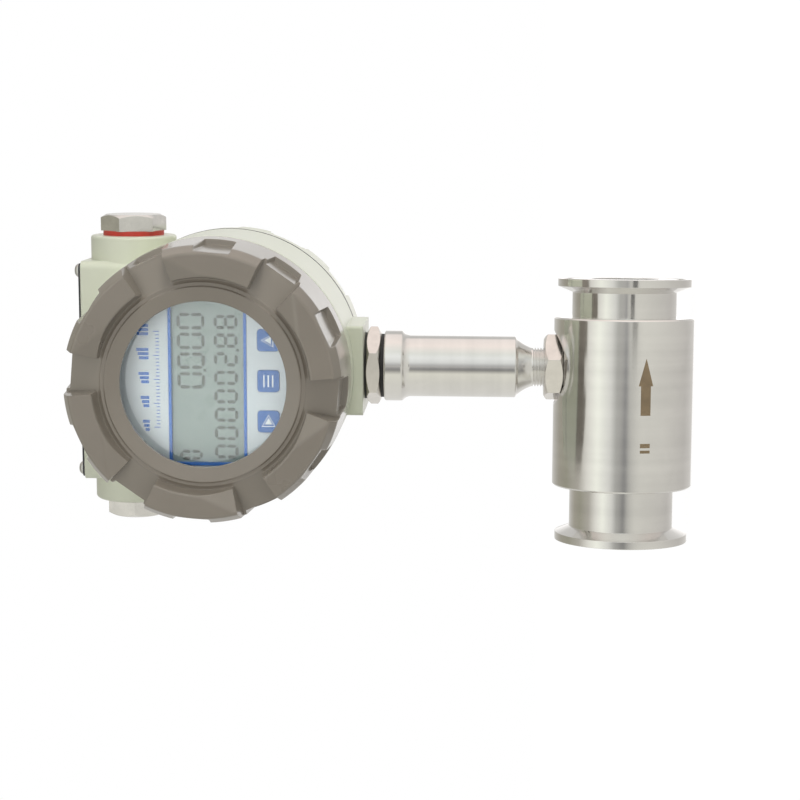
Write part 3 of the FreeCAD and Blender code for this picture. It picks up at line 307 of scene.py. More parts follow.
# Lowest and highest u, v, w of a node.
def headBox(name):
    mesh = nodes[name].data
    spots = np.empty(len(mesh.vertices) * 3)
    mesh.vertices.foreach_get("co", spots)
    local = (spots.reshape(-1, 3) / mm - headOrigin) @ headAxes.T
    return local.min(0), local.max(0)


# 0 below low, 1 above high, with a flat start and end in between.
def easeStep(value, low, high):
    t = np.clip((value - low) / (high - low), 0, 1)
    return t * t * (3 - 2 * t)


# The lower of a and b, rounded over where they differ by less than blend.
def softLower(a, b, blend):
    h = np.maximum(blend - np.abs(a - b), 0) / blend
    return np.minimum(a, b) - h * h * blend / 4


# A path through (x, y, radius, splits) corners. Each corner is cut back by its radius and
# filled with a parabola; splits is how many pieces the run after it has.
def softenedPath(corners, closed=False, steps=4):
    data = np.array(corners, float)
    spots, radii, splits = data[:, :2], data[:, 2], data[:, 3].astype(int)
    before, after = np.roll(spots, 1, 0), np.roll(spots, -1, 0)
    lengthBack = np.linalg.norm(before - spots, axis=1) + 1e-9
    lengthOn = np.linalg.norm(after - spots, axis=1) + 1e-9
    cut = np.minimum(radii, np.minimum(lengthBack, lengthOn) * 0.45)
    start = spots + (before - spots) * (cut / lengthBack)[:, None]
    stop = spots + (after - spots) * (cut / lengthOn)[:, None]
    if not closed:
        start[0], stop[0], start[-1], stop[-1] = spots[0], spots[0], spots[-1], spots[-1]
    t = np.linspace(0, 1, steps + 1)[:, None]
    path = []
    for i in range(len(spots)):
        bend = (1 - t) ** 2 * start[i] + 2 * t * (1 - t) * spots[i] + t ** 2 * stop[i]
        path.append(bend if radii[i] > 0 else bend[:1])
        if i + 1 < len(spots) or closed:
            share = np.linspace(0, 1, splits[i] + 1)[1:-1, None]
            gap = start[(i + 1) % len(spots)] - stop[i]
            held = np.clip(0.06 / (np.linalg.norm(gap) + 1e-9), 0, 0.2)
            share = np.vstack([[[held]], share, [[1 - held]]])
            path.append(stop[i] + gap * share)
    return np.vstack(path)


# Four corner numbers of every cell of a rows by columns grid.
def gridFaces(rows, columns, closeRows, closeColumns):
    i = np.arange(rows if closeRows else rows - 1)
    j = np.arange(columns if closeColumns else columns - 1)
    a, b = np.meshgrid(i, j, indexing="ij")
    c, e = (a + 1) % rows, (b + 1) % columns
    corners = np.stack([a * columns + b, a * columns + e, c * columns + e, c * columns + b], -1)
    return corners.reshape(-1, 4)


# A mesh piece from points in millimetres in the row frame. Seams and poles are closed and
# the faces are turned outwards.
def addPiece(name, points, faces, material, body, stands=None, sharp=32):
    mesh = bpy.data.meshes.new(name)
    points = np.asarray(points, float).reshape(-1, 3)
    mesh.from_pydata((points * mm).tolist(), [], np.asarray(faces).tolist())
    work = bmesh.new()
    work.from_mesh(mesh)
    bmesh.ops.remove_doubles(work, verts=work.verts, dist=0.000004)
    bmesh.ops.dissolve_degenerate(work, edges=work.edges, dist=0.000004)
    bmesh.ops.recalc_face_normals(work, faces=work.faces)
    work.to_mesh(mesh)
    work.free()
    mesh.polygons.foreach_set("use_smooth", np.ones(len(mesh.polygons), bool))
    mesh.set_sharp_from_angle(angle=math.radians(sharp))
    mesh.materials.append(material)
    piece = bpy.data.objects.new(name, mesh)
    bpy.context.scene.collection.objects.link(piece)
    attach(piece, body)
    if stands:
        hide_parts(stands)


# A path of (radius, height) turned about the third axis: place = (radius cos angle,
# radius sin angle, height), with the angle in even steps.
def turnedPoints(path, columns):
    angle = np.linspace(0, 2 * np.pi, columns, endpoint=False)
    radius, height = path[:, :1], path[:, 1:]
    return np.stack([radius * np.cos(angle), radius * np.sin(angle),
                     height + 0 * angle], -1)


# covers: a profile turned about the head axis, with lugs, slanted lug ends and notches
coverTop = headBox("front_cover")[1][2]
coverShape = {"diameter": 102.0, "top": coverTop, "depth": 32.8, "lugHeight": 10.0,
              "skirtSlope": 0.045, "lugInner": 38.0, "lugFlat": 47.2, "lugBevel": 4.5,
              "lugFall": 4.0, "lugHalf": 21.0, "phase": -5.0, "faceDrop": 4.6, "ridge": 36.6,
              "ring": 35.0, "ringRise": 0.6, "spigot": 46.4, "inner": 42.0, "tail": 9.5,
              "threadPitch": 2.0, "threadDepth": 0.55, "notchFront": 6.85, "notchRear": 5.45,
              "notchDepth": 2.0, "notchRim": 9.4, "round": 0.8, "window": 29.8, "seat": 7.5,
              "pane": 37.0, "ledge": 13.4, "ceilingDrop": 5.0, "wallTurn": 0.42, "lipEdge": 0.9,
              "fallEdge": 0.4, "planeBlend": 0.5, "notchBlend": 0.4}


# Rows run round the closed profile, columns round the axis. The profile changes from a
# valley one to a lug one by an eased step at each lug end; the slanted plane and the notch
# planes are soft minimums on height and on radius.
def coverGrid(shape, glazed):
    outer = shape["diameter"] / 2
    top = shape["top"]
    valley = top - shape["lugHeight"]
    ridgeTop = valley + shape["faceDrop"]
    start = top - shape["depth"]
    soft = shape["round"]

    # the outer radius falls evenly with height; the valley floor is a cone round the ring
    def skirt(height):
        return outer - (height - start) * shape["skirtSlope"]

    def cone(radius):
        fall = (ridgeTop - 0.4 - valley) / (skirt(valley) - 0.8 - shape["ridge"] - 0.4)
        return ridgeTop - 0.4 - (radius - shape["ridge"] - 0.4) * fall

    tail = start - shape["tail"]
    ring = shape["ring"]
    rimLevel = start + shape["notchRim"]
    if glazed:
        window, pane = shape["window"], shape["pane"]
        seat, ledge = top - shape["seat"], top - shape["ledge"]
        inside = [(window, ridgeTop - shape["ringRise"], 0.25, 2), (window, seat, 0.1, 3),
                  (pane, seat, 0.1, 3), (pane, ledge, 0.2, 2), (shape["inner"], ledge, 0.2, 6)]
    else:
        ceiling = valley - shape["ceilingDrop"]
        inside = [(0, ridgeTop + shape["ringRise"], 0, 2), (0, ceiling, 0, 8),
                  (shape["inner"], ceiling, 2, 6)]
    spigot = shape["spigot"]
    outside = [(shape["inner"], tail, 0.4, 2), (spigot - 0.5, tail, 0.4, 2),
               (spigot, tail + 0.8, 0.3, 34), (spigot, start, 0.1, 2),
               (outer, start, 0.5, 5), (skirt(rimLevel - 0.4), rimLevel - 0.4, 0, 5),
               (skirt(rimLevel + 0.4), rimLevel + 0.4, 0, 12)]
    rim = [(shape["ridge"] + 0.4, ridgeTop - shape["fallEdge"], 0.25, 2),
           (shape["ridge"], ridgeTop, 0.2, 2), (ring + 0.4, ridgeTop, 0.2, 2),
           (ring, ridgeTop + shape["ringRise"], 0.35, 6)]
    inner, flat = shape["lugInner"], shape["lugFlat"]
    lip = inner + shape["lipEdge"]
    dip = [(skirt(valley), valley, soft, 5), (flat, cone(flat), 0.4, 16),
           (lip, cone(lip), 0.4, 7), (inner, cone(inner), 0.3, 3)]
    bevel = top - shape["lugBevel"]
    lug = [(skirt(bevel), bevel, soft * 0.8, 5), (flat, top, soft, 16),
           (lip, top, soft, 7), (inner, cone(inner), 0.5, 3)]
    low = softenedPath(outside + dip + rim + inside, closed=True)
    high = softenedPath(outside + lug + rim + inside, closed=True)

    # columns of one 60 degree share; knots follow the notch edges, which spread forwards
    height = np.maximum(low[:, 1], high[:, 1])
    share = np.clip((height - rimLevel) / (top - rimLevel), 0, 1)
    half = shape["notchRear"] + (shape["notchFront"] - shape["notchRear"]) * share
    edge = np.degrees(np.arcsin(half / (outer - 0.6)))
    end, wall = shape["lugHalf"], shape["wallTurn"]
    zero = 0 * edge
    knots = np.stack([zero - 30, edge - 30 - wall, edge - 30 + wall, zero - end - wall * 0.8,
                      zero - end + wall * 0.8, -edge - wall, -edge + wall, edge - wall,
                      edge + wall, zero + end - wall * 0.8, zero + end + wall * 0.8,
                      30 - edge - wall, 30 - edge + wall, zero + 30], 1)
    counts = [4, 4, 2, 4, 10, 4, 7, 4, 12, 4, 2, 4, 4]
    parts = [knots[:, i:i + 1] + (knots[:, i + 1:i + 2] - knots[:, i:i + 1])
             * np.arange(n) / n for i, n in enumerate(counts)]
    local = np.hstack(parts)
    isLug = (easeStep(local, -end - wall * 0.8, -end + wall * 0.8)
             * (1 - easeStep(local, end - wall * 0.8, end + wall * 0.8)))
    fromNotch = np.abs((local + 15) % 30 - 15)
    isNotch = 1 - easeStep(fromNotch, edge[:, None] - wall, edge[:, None] + wall)
    isNotch = isNotch * easeStep(height, rimLevel - 0.4, rimLevel + 0.4)[:, None]

    radius = low[:, :1] + (high[:, :1] - low[:, :1]) * isLug
    level = low[:, 1:] + (high[:, 1:] - low[:, 1:]) * isLug
    # slanted plane through three points of the lug, as height over its own x and y
    turn = math.radians(end)
    a = np.array([flat * math.cos(turn), flat * math.sin(turn), top])
    b = np.array([inner * math.cos(turn * 0.11), -inner * math.sin(turn * 0.11), top])
    c = np.array([inner * math.cos(turn), inner * math.sin(turn), top - shape["lugFall"]])
    normal = np.cross(b - a, c - a)
    angle = np.radians(local)
    x, y = radius * np.cos(angle), radius * np.sin(angle)
    plane = top - ((x - a[0]) * normal[0] + (y - a[1]) * normal[1]) / normal[2]
    belongs = (level > valley + 0.3) & (radius > inner - 0.2)
    floorLevel = low[:, 1:] + 0 * level
    lowered = np.maximum(softLower(level, plane, shape["planeBlend"]),
                         np.minimum(level, floorLevel))
    level = np.where(belongs, lowered, level)
    # notches: flat bottoms that run parallel to the skirt
    notchTurn = np.radians((local + 15) % 30 - 15)
    forward, sideways = radius * np.cos(notchTurn), radius * np.sin(notchTurn)
    bottom = skirt(level) - shape["notchDepth"]
    cut = softLower(forward, bottom, shape["notchBlend"])
    pressed = np.where(radius > bottom - 1.5, cut, forward)
    forward = forward + (pressed - forward) * isNotch
    radius, bend = np.hypot(forward, sideways), np.arctan2(sideways, forward)
    angle = np.radians(local - ((local + 15) % 30 - 15)) + bend

    around = np.radians(shape["phase"]) + np.arange(6) * np.pi / 3
    angle = (angle[:, None, :] + around[None, :, None]).reshape(len(low), -1)
    radius, level = np.tile(radius, 6), np.tile(level, 6)
    # thread ridges on the spigot
    turns = (level - tail) / shape["threadPitch"] + angle / (2 * np.pi)
    ridge = np.abs((turns % 1) * 2 - 1) - 0.5
    threaded = (np.abs(radius - spigot) < 0.02) & (level > tail + 1) & (level < start - 0.8)
    fade = easeStep(level, tail + 1, tail + 2) * (1 - easeStep(level, start - 2, start - 0.9))
    radius = radius + np.where(threaded, (ridge - 0.5) * shape["threadDepth"] * fade, 0)
    return radius, angle, level


# Place = (radius cos angle, radius sin angle, height); the blank cover faces backwards, so
# its first and third values change sign.
def makeCover(name, shape, glazed, material):
    radius, angle, level = coverGrid(shape, glazed)
    side = 1 if glazed else -1
    points = np.stack([side * radius * np.cos(angle), radius * np.sin(angle), side * level], -1)
    faces = gridFaces(*radius.shape, True, True)
    addPiece(name, onHead(points.reshape(-1, 3)), faces, material, name, name)


makeCover("front_cover", coverShape, True, taupePaint)
rearShape = dict(coverShape, top=-headBox("rear_cover")[0][2], depth=24.0, skirtSlope=0.02)
makeCover("rear_cover", rearShape, False, creamPaint)

rearSeal = {"clear": 0.2, "proud": 0.06}


# A dark ring that fills the groove between the housing and the rear cover: its section
# of straight runs with soft corners is turned about the head axis.
def makeRearSeal():
    low, high = headBox("rear_seal")
    rim = coverShape["diameter"] / 2
    bore, lip = coverShape["spigot"] + rearSeal["clear"], rim + rearSeal["proud"]
    section = [(bore, high[2], 0, 3), (rim - 0.55, high[2], 0, 2),
               (lip, high[2] + 0.55, 0.1, 3), (lip, low[2] - 0.35, 0.1, 2),
               (rim - 0.45, low[2], 0, 3), (bore, low[2], 0, 2)]
    ring = turnedPoints(softenedPath(section, closed=True), 360)
    addPiece("rear_seal_lip", onHead(ring.reshape(-1, 3)), gridFaces(*ring.shape[:2], True, True),
             blackRubber, "rear_seal_ring", "rear_seal")


makeRearSeal()
print("covers done")

# stem: turned tube with a threaded neck, cone, collar and the pickup's blind bore
stemShape = {"neck": 7.4, "tube": 11.7, "collar": 13.45, "headThread": 9.95, "bore": 5.5,
             "bottomWall": 1.2, "headThreadLength": 15.0, "collarLength": 6.8,
             "flareLength": 2.9, "tubeLength": 40.25, "coneLength": 6.15, "threadLength": 11.5,
             "pitch": 1.05, "threadDepth": 0.6}


# Radius and height of the whole outline. The threads are a triangle wave on the radius
# of the neck, faded out at both ends.
def stemPath(shape):
    low, high = (corner[2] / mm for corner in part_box("stem_tube"))
    collarEnd = high - shape["headThreadLength"]
    collarStart = collarEnd - shape["collarLength"]
    flare = collarStart - shape["flareLength"]
    coneEnd = flare - shape["tubeLength"]
    coneStart = coneEnd - shape["coneLength"]
    neck, tube, collar = shape["neck"], shape["tube"], shape["collar"]
    floor = low + shape["bottomWall"]
    path = softenedPath([
        (0, low, 0, 4), (neck - 0.5, low, 0.2, 2), (neck, low + 0.5, 0.2, 2),
        (neck, coneStart - shape["threadLength"], 0, 200), (neck, coneStart, 0.5, 4),
        (neck + 1.2, coneStart + 2.6, 1.2, 4), (tube - 1.1, coneEnd - 0.7, 0.5, 2),
        (tube, coneEnd, 0.3, 12), (tube, flare, 0.4, 2),
        (tube + 0.45, flare + 1.5, 1.0, 3), (collar, collarStart, 0.4, 6),
        (collar, collarEnd - 0.5, 0.2, 2), (collar - 0.5, collarEnd, 0.2, 3),
        (shape["headThread"], collarEnd, 0.1, 2), (shape["headThread"], high - 0.5, 0.2, 2),
        (shape["headThread"] - 0.5, high, 0.2, 4), (shape["bore"], high, 0.2, 8),
        (shape["bore"], floor, 0.2, 3), (0, floor, 0, 1)])
    start, stop = coneStart - shape["threadLength"], coneStart - 0.3
    inside = (np.abs(path[:, 0] - neck) < 0.01) & (path[:, 1] > start) & (path[:, 1] < stop)
    wave = np.abs(((path[:, 1] - start) / shape["pitch"]) % 1 * 2 - 1)
    fade = easeStep(path[:, 1], start, start + 0.6) * (1 - easeStep(path[:, 1], stop - 0.4, stop))
    path[:, 0] -= np.where(inside, easeStep(wave, 0.15, 0.85) * shape["threadDepth"] * fade, 0)
    return path


stemPoints = turnedPoints(stemPath(stemShape), 192) + [stemPlace / mm, 0, 0]
addPiece("stem", stemPoints, gridFaces(*stemPoints.shape[:2], False, True), stemSteel, "meter",
         "stem_tube")

nutRing = {"press": 0.3, "inset": 1.3, "overlap": 0.02}


# A thin dark washer that fills the gap between the head nut and the collar: a four-sided
# section turned about the stem axis.
def makeNutRing():
    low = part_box("stem_tube")[1][2] / mm - stemShape["headThreadLength"]
    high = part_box("head_lock_nut")[0][2] / mm
    inner = stemShape["headThread"] - nutRing["press"]
    outer = stemShape["collar"] - nutRing["inset"]
    low, high = low - nutRing["overlap"], high + nutRing["overlap"]
    section = [(inner, low, 0, 2), (outer, low, 0.1, 2), (outer, high, 0.1, 2), (inner, high, 0, 2)]
    ring = turnedPoints(softenedPath(section, closed=True), 128) + [stemPlace / mm, 0, 0]
    addPiece("nut_ring", ring, gridFaces(*ring.shape[:2], True, True), blackRubber, "meter")


makeNutRing()
print("stem done")

# flow arrow and two bars, lasered on the body
marks = {"middle": 14.0, "lift": 0.012, "sink": 0.05, "columns": 24, "rows": 14,
         "strips": [(71.2, 61.1, 0.05, 2.8), (61.1, 50.2, 1.9, 1.9), (39.8, 38.2, 1.9, 1.9),
                    (37.3, 36.2, 1.9, 1.9)]}


# A thin shell on the round body between two places on the axis. Its half width runs
# evenly from the first width to the second; angle = middle + width / radius.
def addMark(name, strip):
    start, stop, firstHalf, lastHalf = strip
    bodyRadius = -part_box("meter_body")[0][1] / mm
    rows = np.linspace(0, 1, marks["rows"])
    across = np.linspace(-1, 1, marks["columns"])
    half = firstHalf + (lastHalf - firstHalf) * rows
    angle = math.radians(marks["middle"]) + np.outer(half / bodyRadius, across)
    x = np.repeat((start + (stop - start) * rows)[:, None], len(across), 1)

    def layer(radius):
        return np.stack([x, -radius * np.cos(angle), -radius * np.sin(angle)], -1)

    top, under = layer(bodyRadius + marks["lift"]), layer(bodyRadius - marks["sink"])
    ring = np.concatenate([top, under[:, ::-1]], 1)
    ends = (under[:1], under[-1:])
    caps = [np.concatenate([end, end[:, ::-1]], 1) for end in ends]
    grid = np.concatenate([caps[0], ring, caps[1]], 0)
    addPiece(name, grid, gridFaces(*grid.shape[:2], False, True), laserInk, "meter",
             sharp=20)


for number, strip in enumerate(marks["strips"]):
    addMark(f"laser_mark_{number + 1}", strip)

# display: figures on the glass, a plain scale on the film and a sign on each key
display = {"thickness": 0.03, "sink": 0.01, "stroke": 1.2, "gap": 0.24, "point": 1.0,
           "pointGap": 0.25, "pointDrop": 0.45,
           "upperRow": {"text": "0.000", "left": -3.3, "low": 1.1, "width": 6.0,
                        "height": 10.1, "pitch": 7.2},
           "lowerRow": {"text": "000002.88", "left": -28.9, "low": -10.9, "width": 5.2,
                        "height": 8.7, "pitch": 6.77},
           "ring": {"text": "0", "left": -29.6, "low": 2.2, "width": 3.8, "height": 8.4,
                    "pitch": 6.0}}
segmentsOf = {"0": "abcdef", "2": "abged", "8": "abcdefg"}


# The four corners of an upright rectangle from its lower left corner.
def bar(x, y, width, height):
    return [(x, y), (x + width, y), (x + width, y + height), (x, y + height)]


# The six-sided outline of one of the seven strokes of a figure.
def segmentShape(name, left, low, width, height):
    t, gap = display["stroke"] / 2, display["gap"]
    right, top, middle = left + width, low + height, low + height / 2
    runs = {"a": (left, top - t, right, top - t), "g": (left, middle, right, middle),
            "d": (left, low + t, right, low + t), "f": (left + t, middle, left + t, top),
            "e": (left + t, low, left + t, middle), "b": (right - t, middle, right - t, top),
            "c": (right - t, low, right - t, middle)}
    x0, y0, x1, y1 = runs[name]
    if name in "agd":
        x0, x1 = x0 + t + gap, x1 - t - gap
        return [(x0, y0), (x0 + t, y0 - t), (x1 - t, y0 - t), (x1, y0), (x1 - t, y0 + t),
                (x0 + t, y0 + t)]
    y0, y1 = y0 + gap + (t if y0 == low else 0), y1 - gap - (t if y1 == top else 0)
    return [(x0, y0), (x0 + t, y0 + t), (x0 + t, y1 - t), (x0, y1), (x0 - t, y1 - t),
            (x0 - t, y0 + t)]


# Outlines of a row of figures. A point sits after the figure before it.
def figureShapes(text, left, low, width, height, pitch):
    shapes = []
    place = left
    for sign in text:
        if sign == ".":
            x = place - pitch + width + display["pointGap"]
            shapes.append(bar(x, low - display["pointDrop"], display["point"], display["point"]))
            continue
        shapes += [segmentShape(name, place, low, width, height) for name in segmentsOf[sign]]
        place += pitch
    return shapes


# Flat outlines as thin plates that lie on the given level of the head axis.
def addInlay(name, shapes, level, material, body="head"):
    corners, faces = [], []
    for shape in shapes:
        count, first = len(shape), len(corners)
        ground = np.column_stack([shape, np.full(count, level - display["sink"])])
        corners += [*ground, *(ground + [0, 0, display["thickness"]])]
        faces.append([first + i for i in reversed(range(count))])
        faces.append([first + count + i for i in range(count)])
        faces += [[first + i, first + (i + 1) % count, first + count + (i + 1) % count,
                   first + count + i] for i in range(count)]
    mesh = bpy.data.meshes.new(name)
    mesh.from_pydata((onHead(np.array(corners)) * mm).tolist(), [], faces)
    work = bmesh.new()
    work.from_mesh(mesh)
    bmesh.ops.recalc_face_normals(work, faces=work.faces)
    work.to_mesh(mesh)
    work.free()
    mesh.materials.append(material)
    piece = bpy.data.objects.new(name, mesh)
    bpy.context.scene.collection.objects.link(piece)
    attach(piece, body)


glassLevel = headBox("lcd_glass")[1][2]
filmLevel = headBox("display_panel")[1][2]
figures = [shape for row in ("upperRow", "lowerRow", "ring")
           for shape in figureShapes(**display[row])]
addInlay("display_figures", figures, glassLevel, lcdInk)

scaleMarks = {"count": 29, "left": -17.5, "pitch": 1.25, "low": 17.4, "width": 0.28,
              "short": 1.3, "tall": 2.2, "tallEvery": 7}
levelBars = {"groups": 5, "left": -18.8, "pitch": 8.75, "low": 21.3, "width": 1.1, "gap": 1.5,
             "first": 1.5, "grow": 0.65, "step": 0.5}
scale = []
for step in range(scaleMarks["count"]):
    tall = scaleMarks["short"] if step % scaleMarks["tallEvery"] else scaleMarks["tall"]
    scale.append(bar(scaleMarks["left"] + step * scaleMarks["pitch"], scaleMarks["low"],
                     scaleMarks["width"], tall))
for group in range(levelBars["groups"]):
    for step in range(3):
        scale.append(bar(levelBars["left"] + group * levelBars["pitch"] + step * levelBars["gap"],
                         levelBars["low"], levelBars["width"],
                         levelBars["first"] + group * levelBars["grow"] + step * levelBars["step"]))
addInlay("panel_scale", scale, filmLevel, frameBlue)

keySigns = {"barHalf": 2.2, "barHeight": 0.55, "barLevels": (1.3, -0.28, -1.85),
            "arrow": [(0, 2.6), (-2.55, -1.9), (2.55, -1.9)], "hollow": 0.84, "filled": 0.55}


# An arrow outline with a filled arrow in it, or three bars for the middle key.
def keySign(name):
    low, high = headBox(name)
    x, y = (low[0] + high[0]) / 2, (low[1] + high[1]) / 2
    if name == "key_menu":
        half = keySigns["barHalf"]
        return [bar(x - half, y + level, 2 * half, keySigns["barHeight"])
                for level in keySigns["barLevels"]]
    corners = np.array(keySigns["arrow"])
    if name == "key_next":
        corners = np.column_stack([corners[:, 1], -corners[:, 0]])
    strips = []
    for i in range(3):
        a, b = corners[i], corners[(i + 1) % 3]
        strips.append([a, b, b * keySigns["hollow"], a * keySigns["hollow"]])
    filled = corners * keySigns["filled"]
    return [[(x + p, y + q) for p, q in shape] for shape in [*strips, filled]]


for name in ("key_up", "key_menu", "key_next"):
    addInlay(name + "_sign", keySign(name), headBox(name)[1][2], whiteInk, name)
print("display done")

# studio
studio = {"floorGap": 0.0002, "floorSize": 1.6, "floorGlow": 1.11, "glowShare": 0.85,
          "worldLight": 0.45, "lampTarget": (0.05, 0, 0.09)}
keyLamp = {"place": (0.95, -0.42, -0.02), "size": 0.5, "power": 6.8}
fillLamp = {"place": (0.0, -1.0, 0.45), "size": 0.6, "power": 2.3}
darkCard = {"place": (0.108, -0.70, -0.166), "width": 0.12, "height": 0.11}


def makeFloor():
    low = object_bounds()[0]
    size = studio["floorSize"]
    level = low[2] - studio["floorGap"]
    mesh = bpy.data.meshes.new("floor")
    corners = [(-size, -size, level), (size, -size, level), (size, size, level),
               (-size, size, level)]
    mesh.from_pydata(corners, [], [(0, 1, 2, 3)])
    floor = bpy.data.objects.new("floor", mesh)
    bpy.context.scene.collection.objects.link(floor)
    material, tree, shader = blankMaterial("floorPaper")
    place = objectPlace(tree)
    grain = noise(tree, place, 900, 3, 0.6)
    tone = ramp(tree, grain, [(0.3, (0.93, 0.93, 0.93)), (0.7, (0.96, 0.96, 0.96))])
    tree.links.new(tone, shader.inputs["Base Color"])
    shader.inputs["Roughness"].default_value = 0.9
    glow = addNode(tree, "ShaderNodeEmission", {0: (1, 1, 1, 1), 1: studio["floorGlow"]})
    path = addNode(tree, "ShaderNodeLightPath")
    seen = addNode(tree, "ShaderNodeMath", {0: path.outputs["Is Camera Ray"],
                                            1: path.outputs["Is Transmission Ray"]},
                   operation="MAXIMUM")
    part = addNode(tree, "ShaderNodeMath", {0: seen.outputs[0], 1: studio["glowShare"]},
                   operation="MULTIPLY")
    mix = addNode(tree, "ShaderNodeMixShader",
                  {0: part.outputs[0], 1: shader.outputs[0], 2: glow.outputs[0]})
    out = next(n for n in tree.nodes if n.type == "OUTPUT_MATERIAL")
    tree.links.new(mix.outputs[0], out.inputs[0])
    mesh.materials.append(material)
    floor.visible_glossy = False


# what polished metal mirrors: light by angle from the reader, sideways and upwards
sideways = [(-180, (0.80, 0.79, 0.77)), (-60, (0.76, 0.75, 0.69)), (-26, (0.84, 0.83, 0.74)),
            (-17, (0.50, 0.49, 0.45)), (-11, (0.26, 0.26, 0.25)), (-4, (0.30, 0.30, 0.30)),
            (4, (0.50, 0.50, 0.50)), (16, (0.84, 0.86, 0.84)), (34, (0.98, 1.0, 0.98)),
            (50, (0.90, 0.92, 0.87)), (85, (1.10, 1.0, 0.94)), (124, (1.0, 0.92, 0.88)),
            (136, (0.60, 0.59, 0.57)), (158, (0.70, 0.69, 0.67)), (180, (1.5, 1.48, 1.47))]
upwards = [(-180, (1.7, 1.67, 1.66)), (-155, (0.72, 0.70, 0.67)),
           (-118, (0.60, 0.58, 0.55)), (-26, (0.77, 0.76, 0.70)),
           (-6, (0.70, 0.69, 0.64)), (3, (0.53, 0.52, 0.49)), (14, (0.51, 0.51, 0.48)),
           (24, (0.82, 0.82, 0.78)), (45, (1.08, 1.10, 1.0)), (62, (0.85, 0.84, 0.78)),
           (80, (0.48, 0.46, 0.41)), (107, (0.36, 0.35, 0.28)), (130, (0.39, 0.37, 0.31)),
           (180, (0.70, 0.69, 0.67))]


# A ramp over the angle of (depth, rise), from -180 to 180 degrees.
def angleRamp(tree, rise, depth, stops):
    angle = addNode(tree, "ShaderNodeMath", {0: rise, 1: depth}, operation="ARCTAN2")
    share = addNode(tree, "ShaderNodeMapRange",
                    {0: angle.outputs[0], 1: -math.pi, 2: math.pi, 3: 0.0, 4: 1.0})
    return ramp(tree, share.outputs[0], [(place / 360 + 0.5, tone) for place, tone in stops])


# White to the camera, an even grey for the light, and for mirrored rays the two ramps
# mixed by how far the ray leans sideways: share = x^2 / (x^2 + z^2).
def makeWorld():
    world = bpy.data.worlds.new("studio")
    bpy.context.scene.world = world
    world.use_nodes = True
    tree = world.node_tree
    back = next(n for n in tree.nodes if n.type == "BACKGROUND")
    out = next(n for n in tree.nodes if n.type == "OUTPUT_WORLD")
    direction = addNode(tree, "ShaderNodeTexCoord").outputs["Generated"]
    parts = addNode(tree, "ShaderNodeSeparateXYZ", {0: direction})
    x, y, z = parts.outputs[0], parts.outputs[1], parts.outputs[2]
    towards = addNode(tree, "ShaderNodeMath", {0: y, 1: -1.0}, operation="MULTIPLY").outputs[0]
    aside = angleRamp(tree, x, towards, sideways)
    above = angleRamp(tree, z, towards, upwards)
    xx = addNode(tree, "ShaderNodeMath", {0: x, 1: x}, operation="MULTIPLY").outputs[0]
    zz = addNode(tree, "ShaderNodeMath", {0: z, 1: z}, operation="MULTIPLY").outputs[0]
    both = addNode(tree, "ShaderNodeMath", {0: xx, 1: zz}, operation="ADD").outputs[0]
    whole = addNode(tree, "ShaderNodeMath", {0: both, 1: 0.0001}, operation="MAXIMUM").outputs[0]
    share = addNode(tree, "ShaderNodeMath", {0: xx, 1: whole}, operation="DIVIDE").outputs[0]
    room = addNode(tree, "ShaderNodeMix", {0: share, 6: above, 7: aside}, data_type="RGBA")
    back.inputs[0].default_value = (1, 1, 1, 1)
    back.inputs[1].default_value = studio["worldLight"]
    mirrored = addNode(tree, "ShaderNodeBackground", {0: room.outputs[2], 1: 1.0})
    white = addNode(tree, "ShaderNodeBackground", {0: (1, 1, 1, 1), 1: 1.0})
    path = addNode(tree, "ShaderNodeLightPath")
    first = addNode(tree, "ShaderNodeMixShader", {0: path.outputs["Is Glossy Ray"],
                                                  1: back.outputs[0], 2: mirrored.outputs[0]})
    clear = addNode(tree, "ShaderNodeMath", {0: path.outputs["Is Camera Ray"],
                                             1: path.outputs["Is Transmission Ray"]},
                    operation="MAXIMUM")
    second = addNode(tree, "ShaderNodeMixShader", {0: clear.outputs[0], 1: first.outputs[0],
                                                   2: white.outputs[0]})
    tree.links.new(second.outputs[0], out.inputs[0])


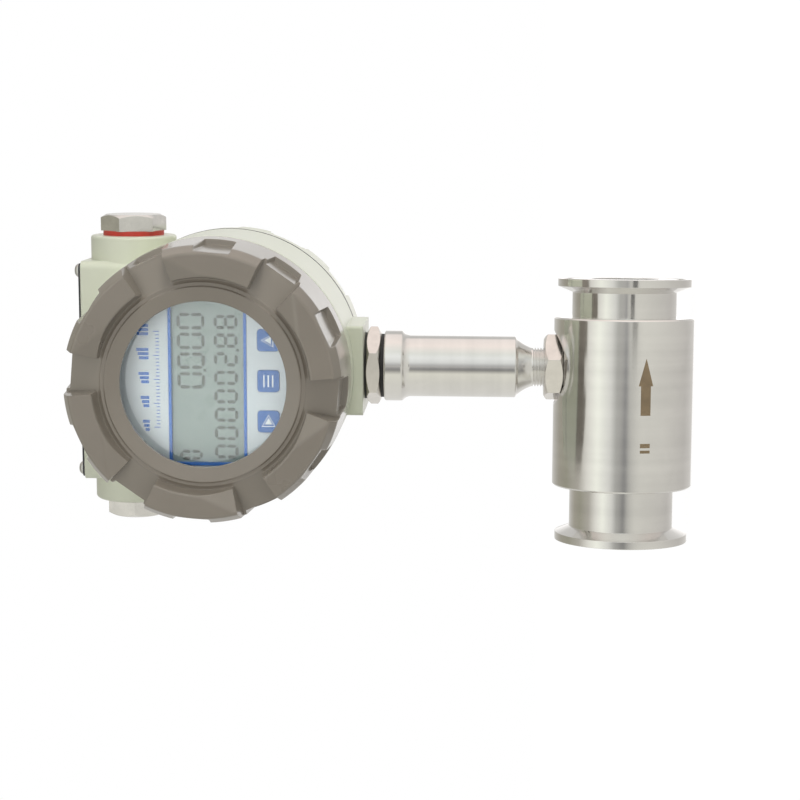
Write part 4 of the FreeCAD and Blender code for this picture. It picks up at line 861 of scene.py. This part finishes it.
def addLamp(name, place, size, power):
    light = bpy.data.lights.new(name, "AREA")
    light.shape = "DISK"
    light.size = size
    light.energy = power
    lamp = bpy.data.objects.new(name, light)
    bpy.context.scene.collection.objects.link(lamp)
    lamp.location = place
    lamp.visible_glossy = False
    aim = Vector(studio["lampTarget"]) - Vector(place)
    lamp.rotation_euler = aim.to_track_quat("-Z", "Y").to_euler()


# A dark mottled card that only mirrored rays see.
def addCard(name, place, width, height):
    x, y, z = place
    mesh = bpy.data.meshes.new(name)
    corners = [(x - width / 2, y, z - height / 2), (x + width / 2, y, z - height / 2),
               (x + width / 2, y, z + height / 2), (x - width / 2, y, z + height / 2)]
    mesh.from_pydata(corners, [], [(0, 1, 2, 3)])
    card = bpy.data.objects.new(name, mesh)
    bpy.context.scene.collection.objects.link(card)
    material, tree, shader = blankMaterial(name)
    mottle = noise(tree, objectPlace(tree), 60, 4, 0.7)
    tone = ramp(tree, mottle, [(0.35, (0.03, 0.03, 0.03)), (0.65, (0.13, 0.13, 0.12))])
    shader.inputs["Base Color"].default_value = (0.02, 0.02, 0.02, 1)
    tree.links.new(tone, shader.inputs["Emission Color"])
    shader.inputs["Emission Strength"].default_value = 1.0
    mesh.materials.append(material)
    card.visible_camera = False
    card.visible_diffuse = False
    card.visible_transmission = False
    card.visible_shadow = False


makeFloor()
makeWorld()
addCard("cameraCard", **darkCard)
addLamp("keyLamp", **keyLamp)
addLamp("fillLamp", **fillLamp)

# camera, where the part is seen with the flow running upwards
view = {"place": (0.1141, -0.6745, 0.0553), "ahead": (-0.0906, 0.9949, 0.0443),
        "right": (0.0076, 0.0452, -0.999), "lens": 79.2, "sensor": 36}
cameraPlace = Vector(view["place"])
ahead = Vector(view["ahead"]).normalized()
right = Vector(view["right"])
right = (right - ahead * right.dot(ahead)).normalized()
above = right.cross(ahead).normalized()
lens = bpy.data.cameras.new("camera")
lens.lens = view["lens"]
lens.sensor_width = view["sensor"]
camera = bpy.data.objects.new("camera", lens)
bpy.context.scene.collection.objects.link(camera)
camera.matrix_world = Matrix((
    (right.x, above.x, -ahead.x, cameraPlace.x),
    (right.y, above.y, -ahead.y, cameraPlace.y),
    (right.z, above.z, -ahead.z, cameraPlace.z),
    (0, 0, 0, 1)))
bpy.context.scene.camera = camera
bpy.context.scene.view_settings.view_transform = "Standard"
print("studio done")
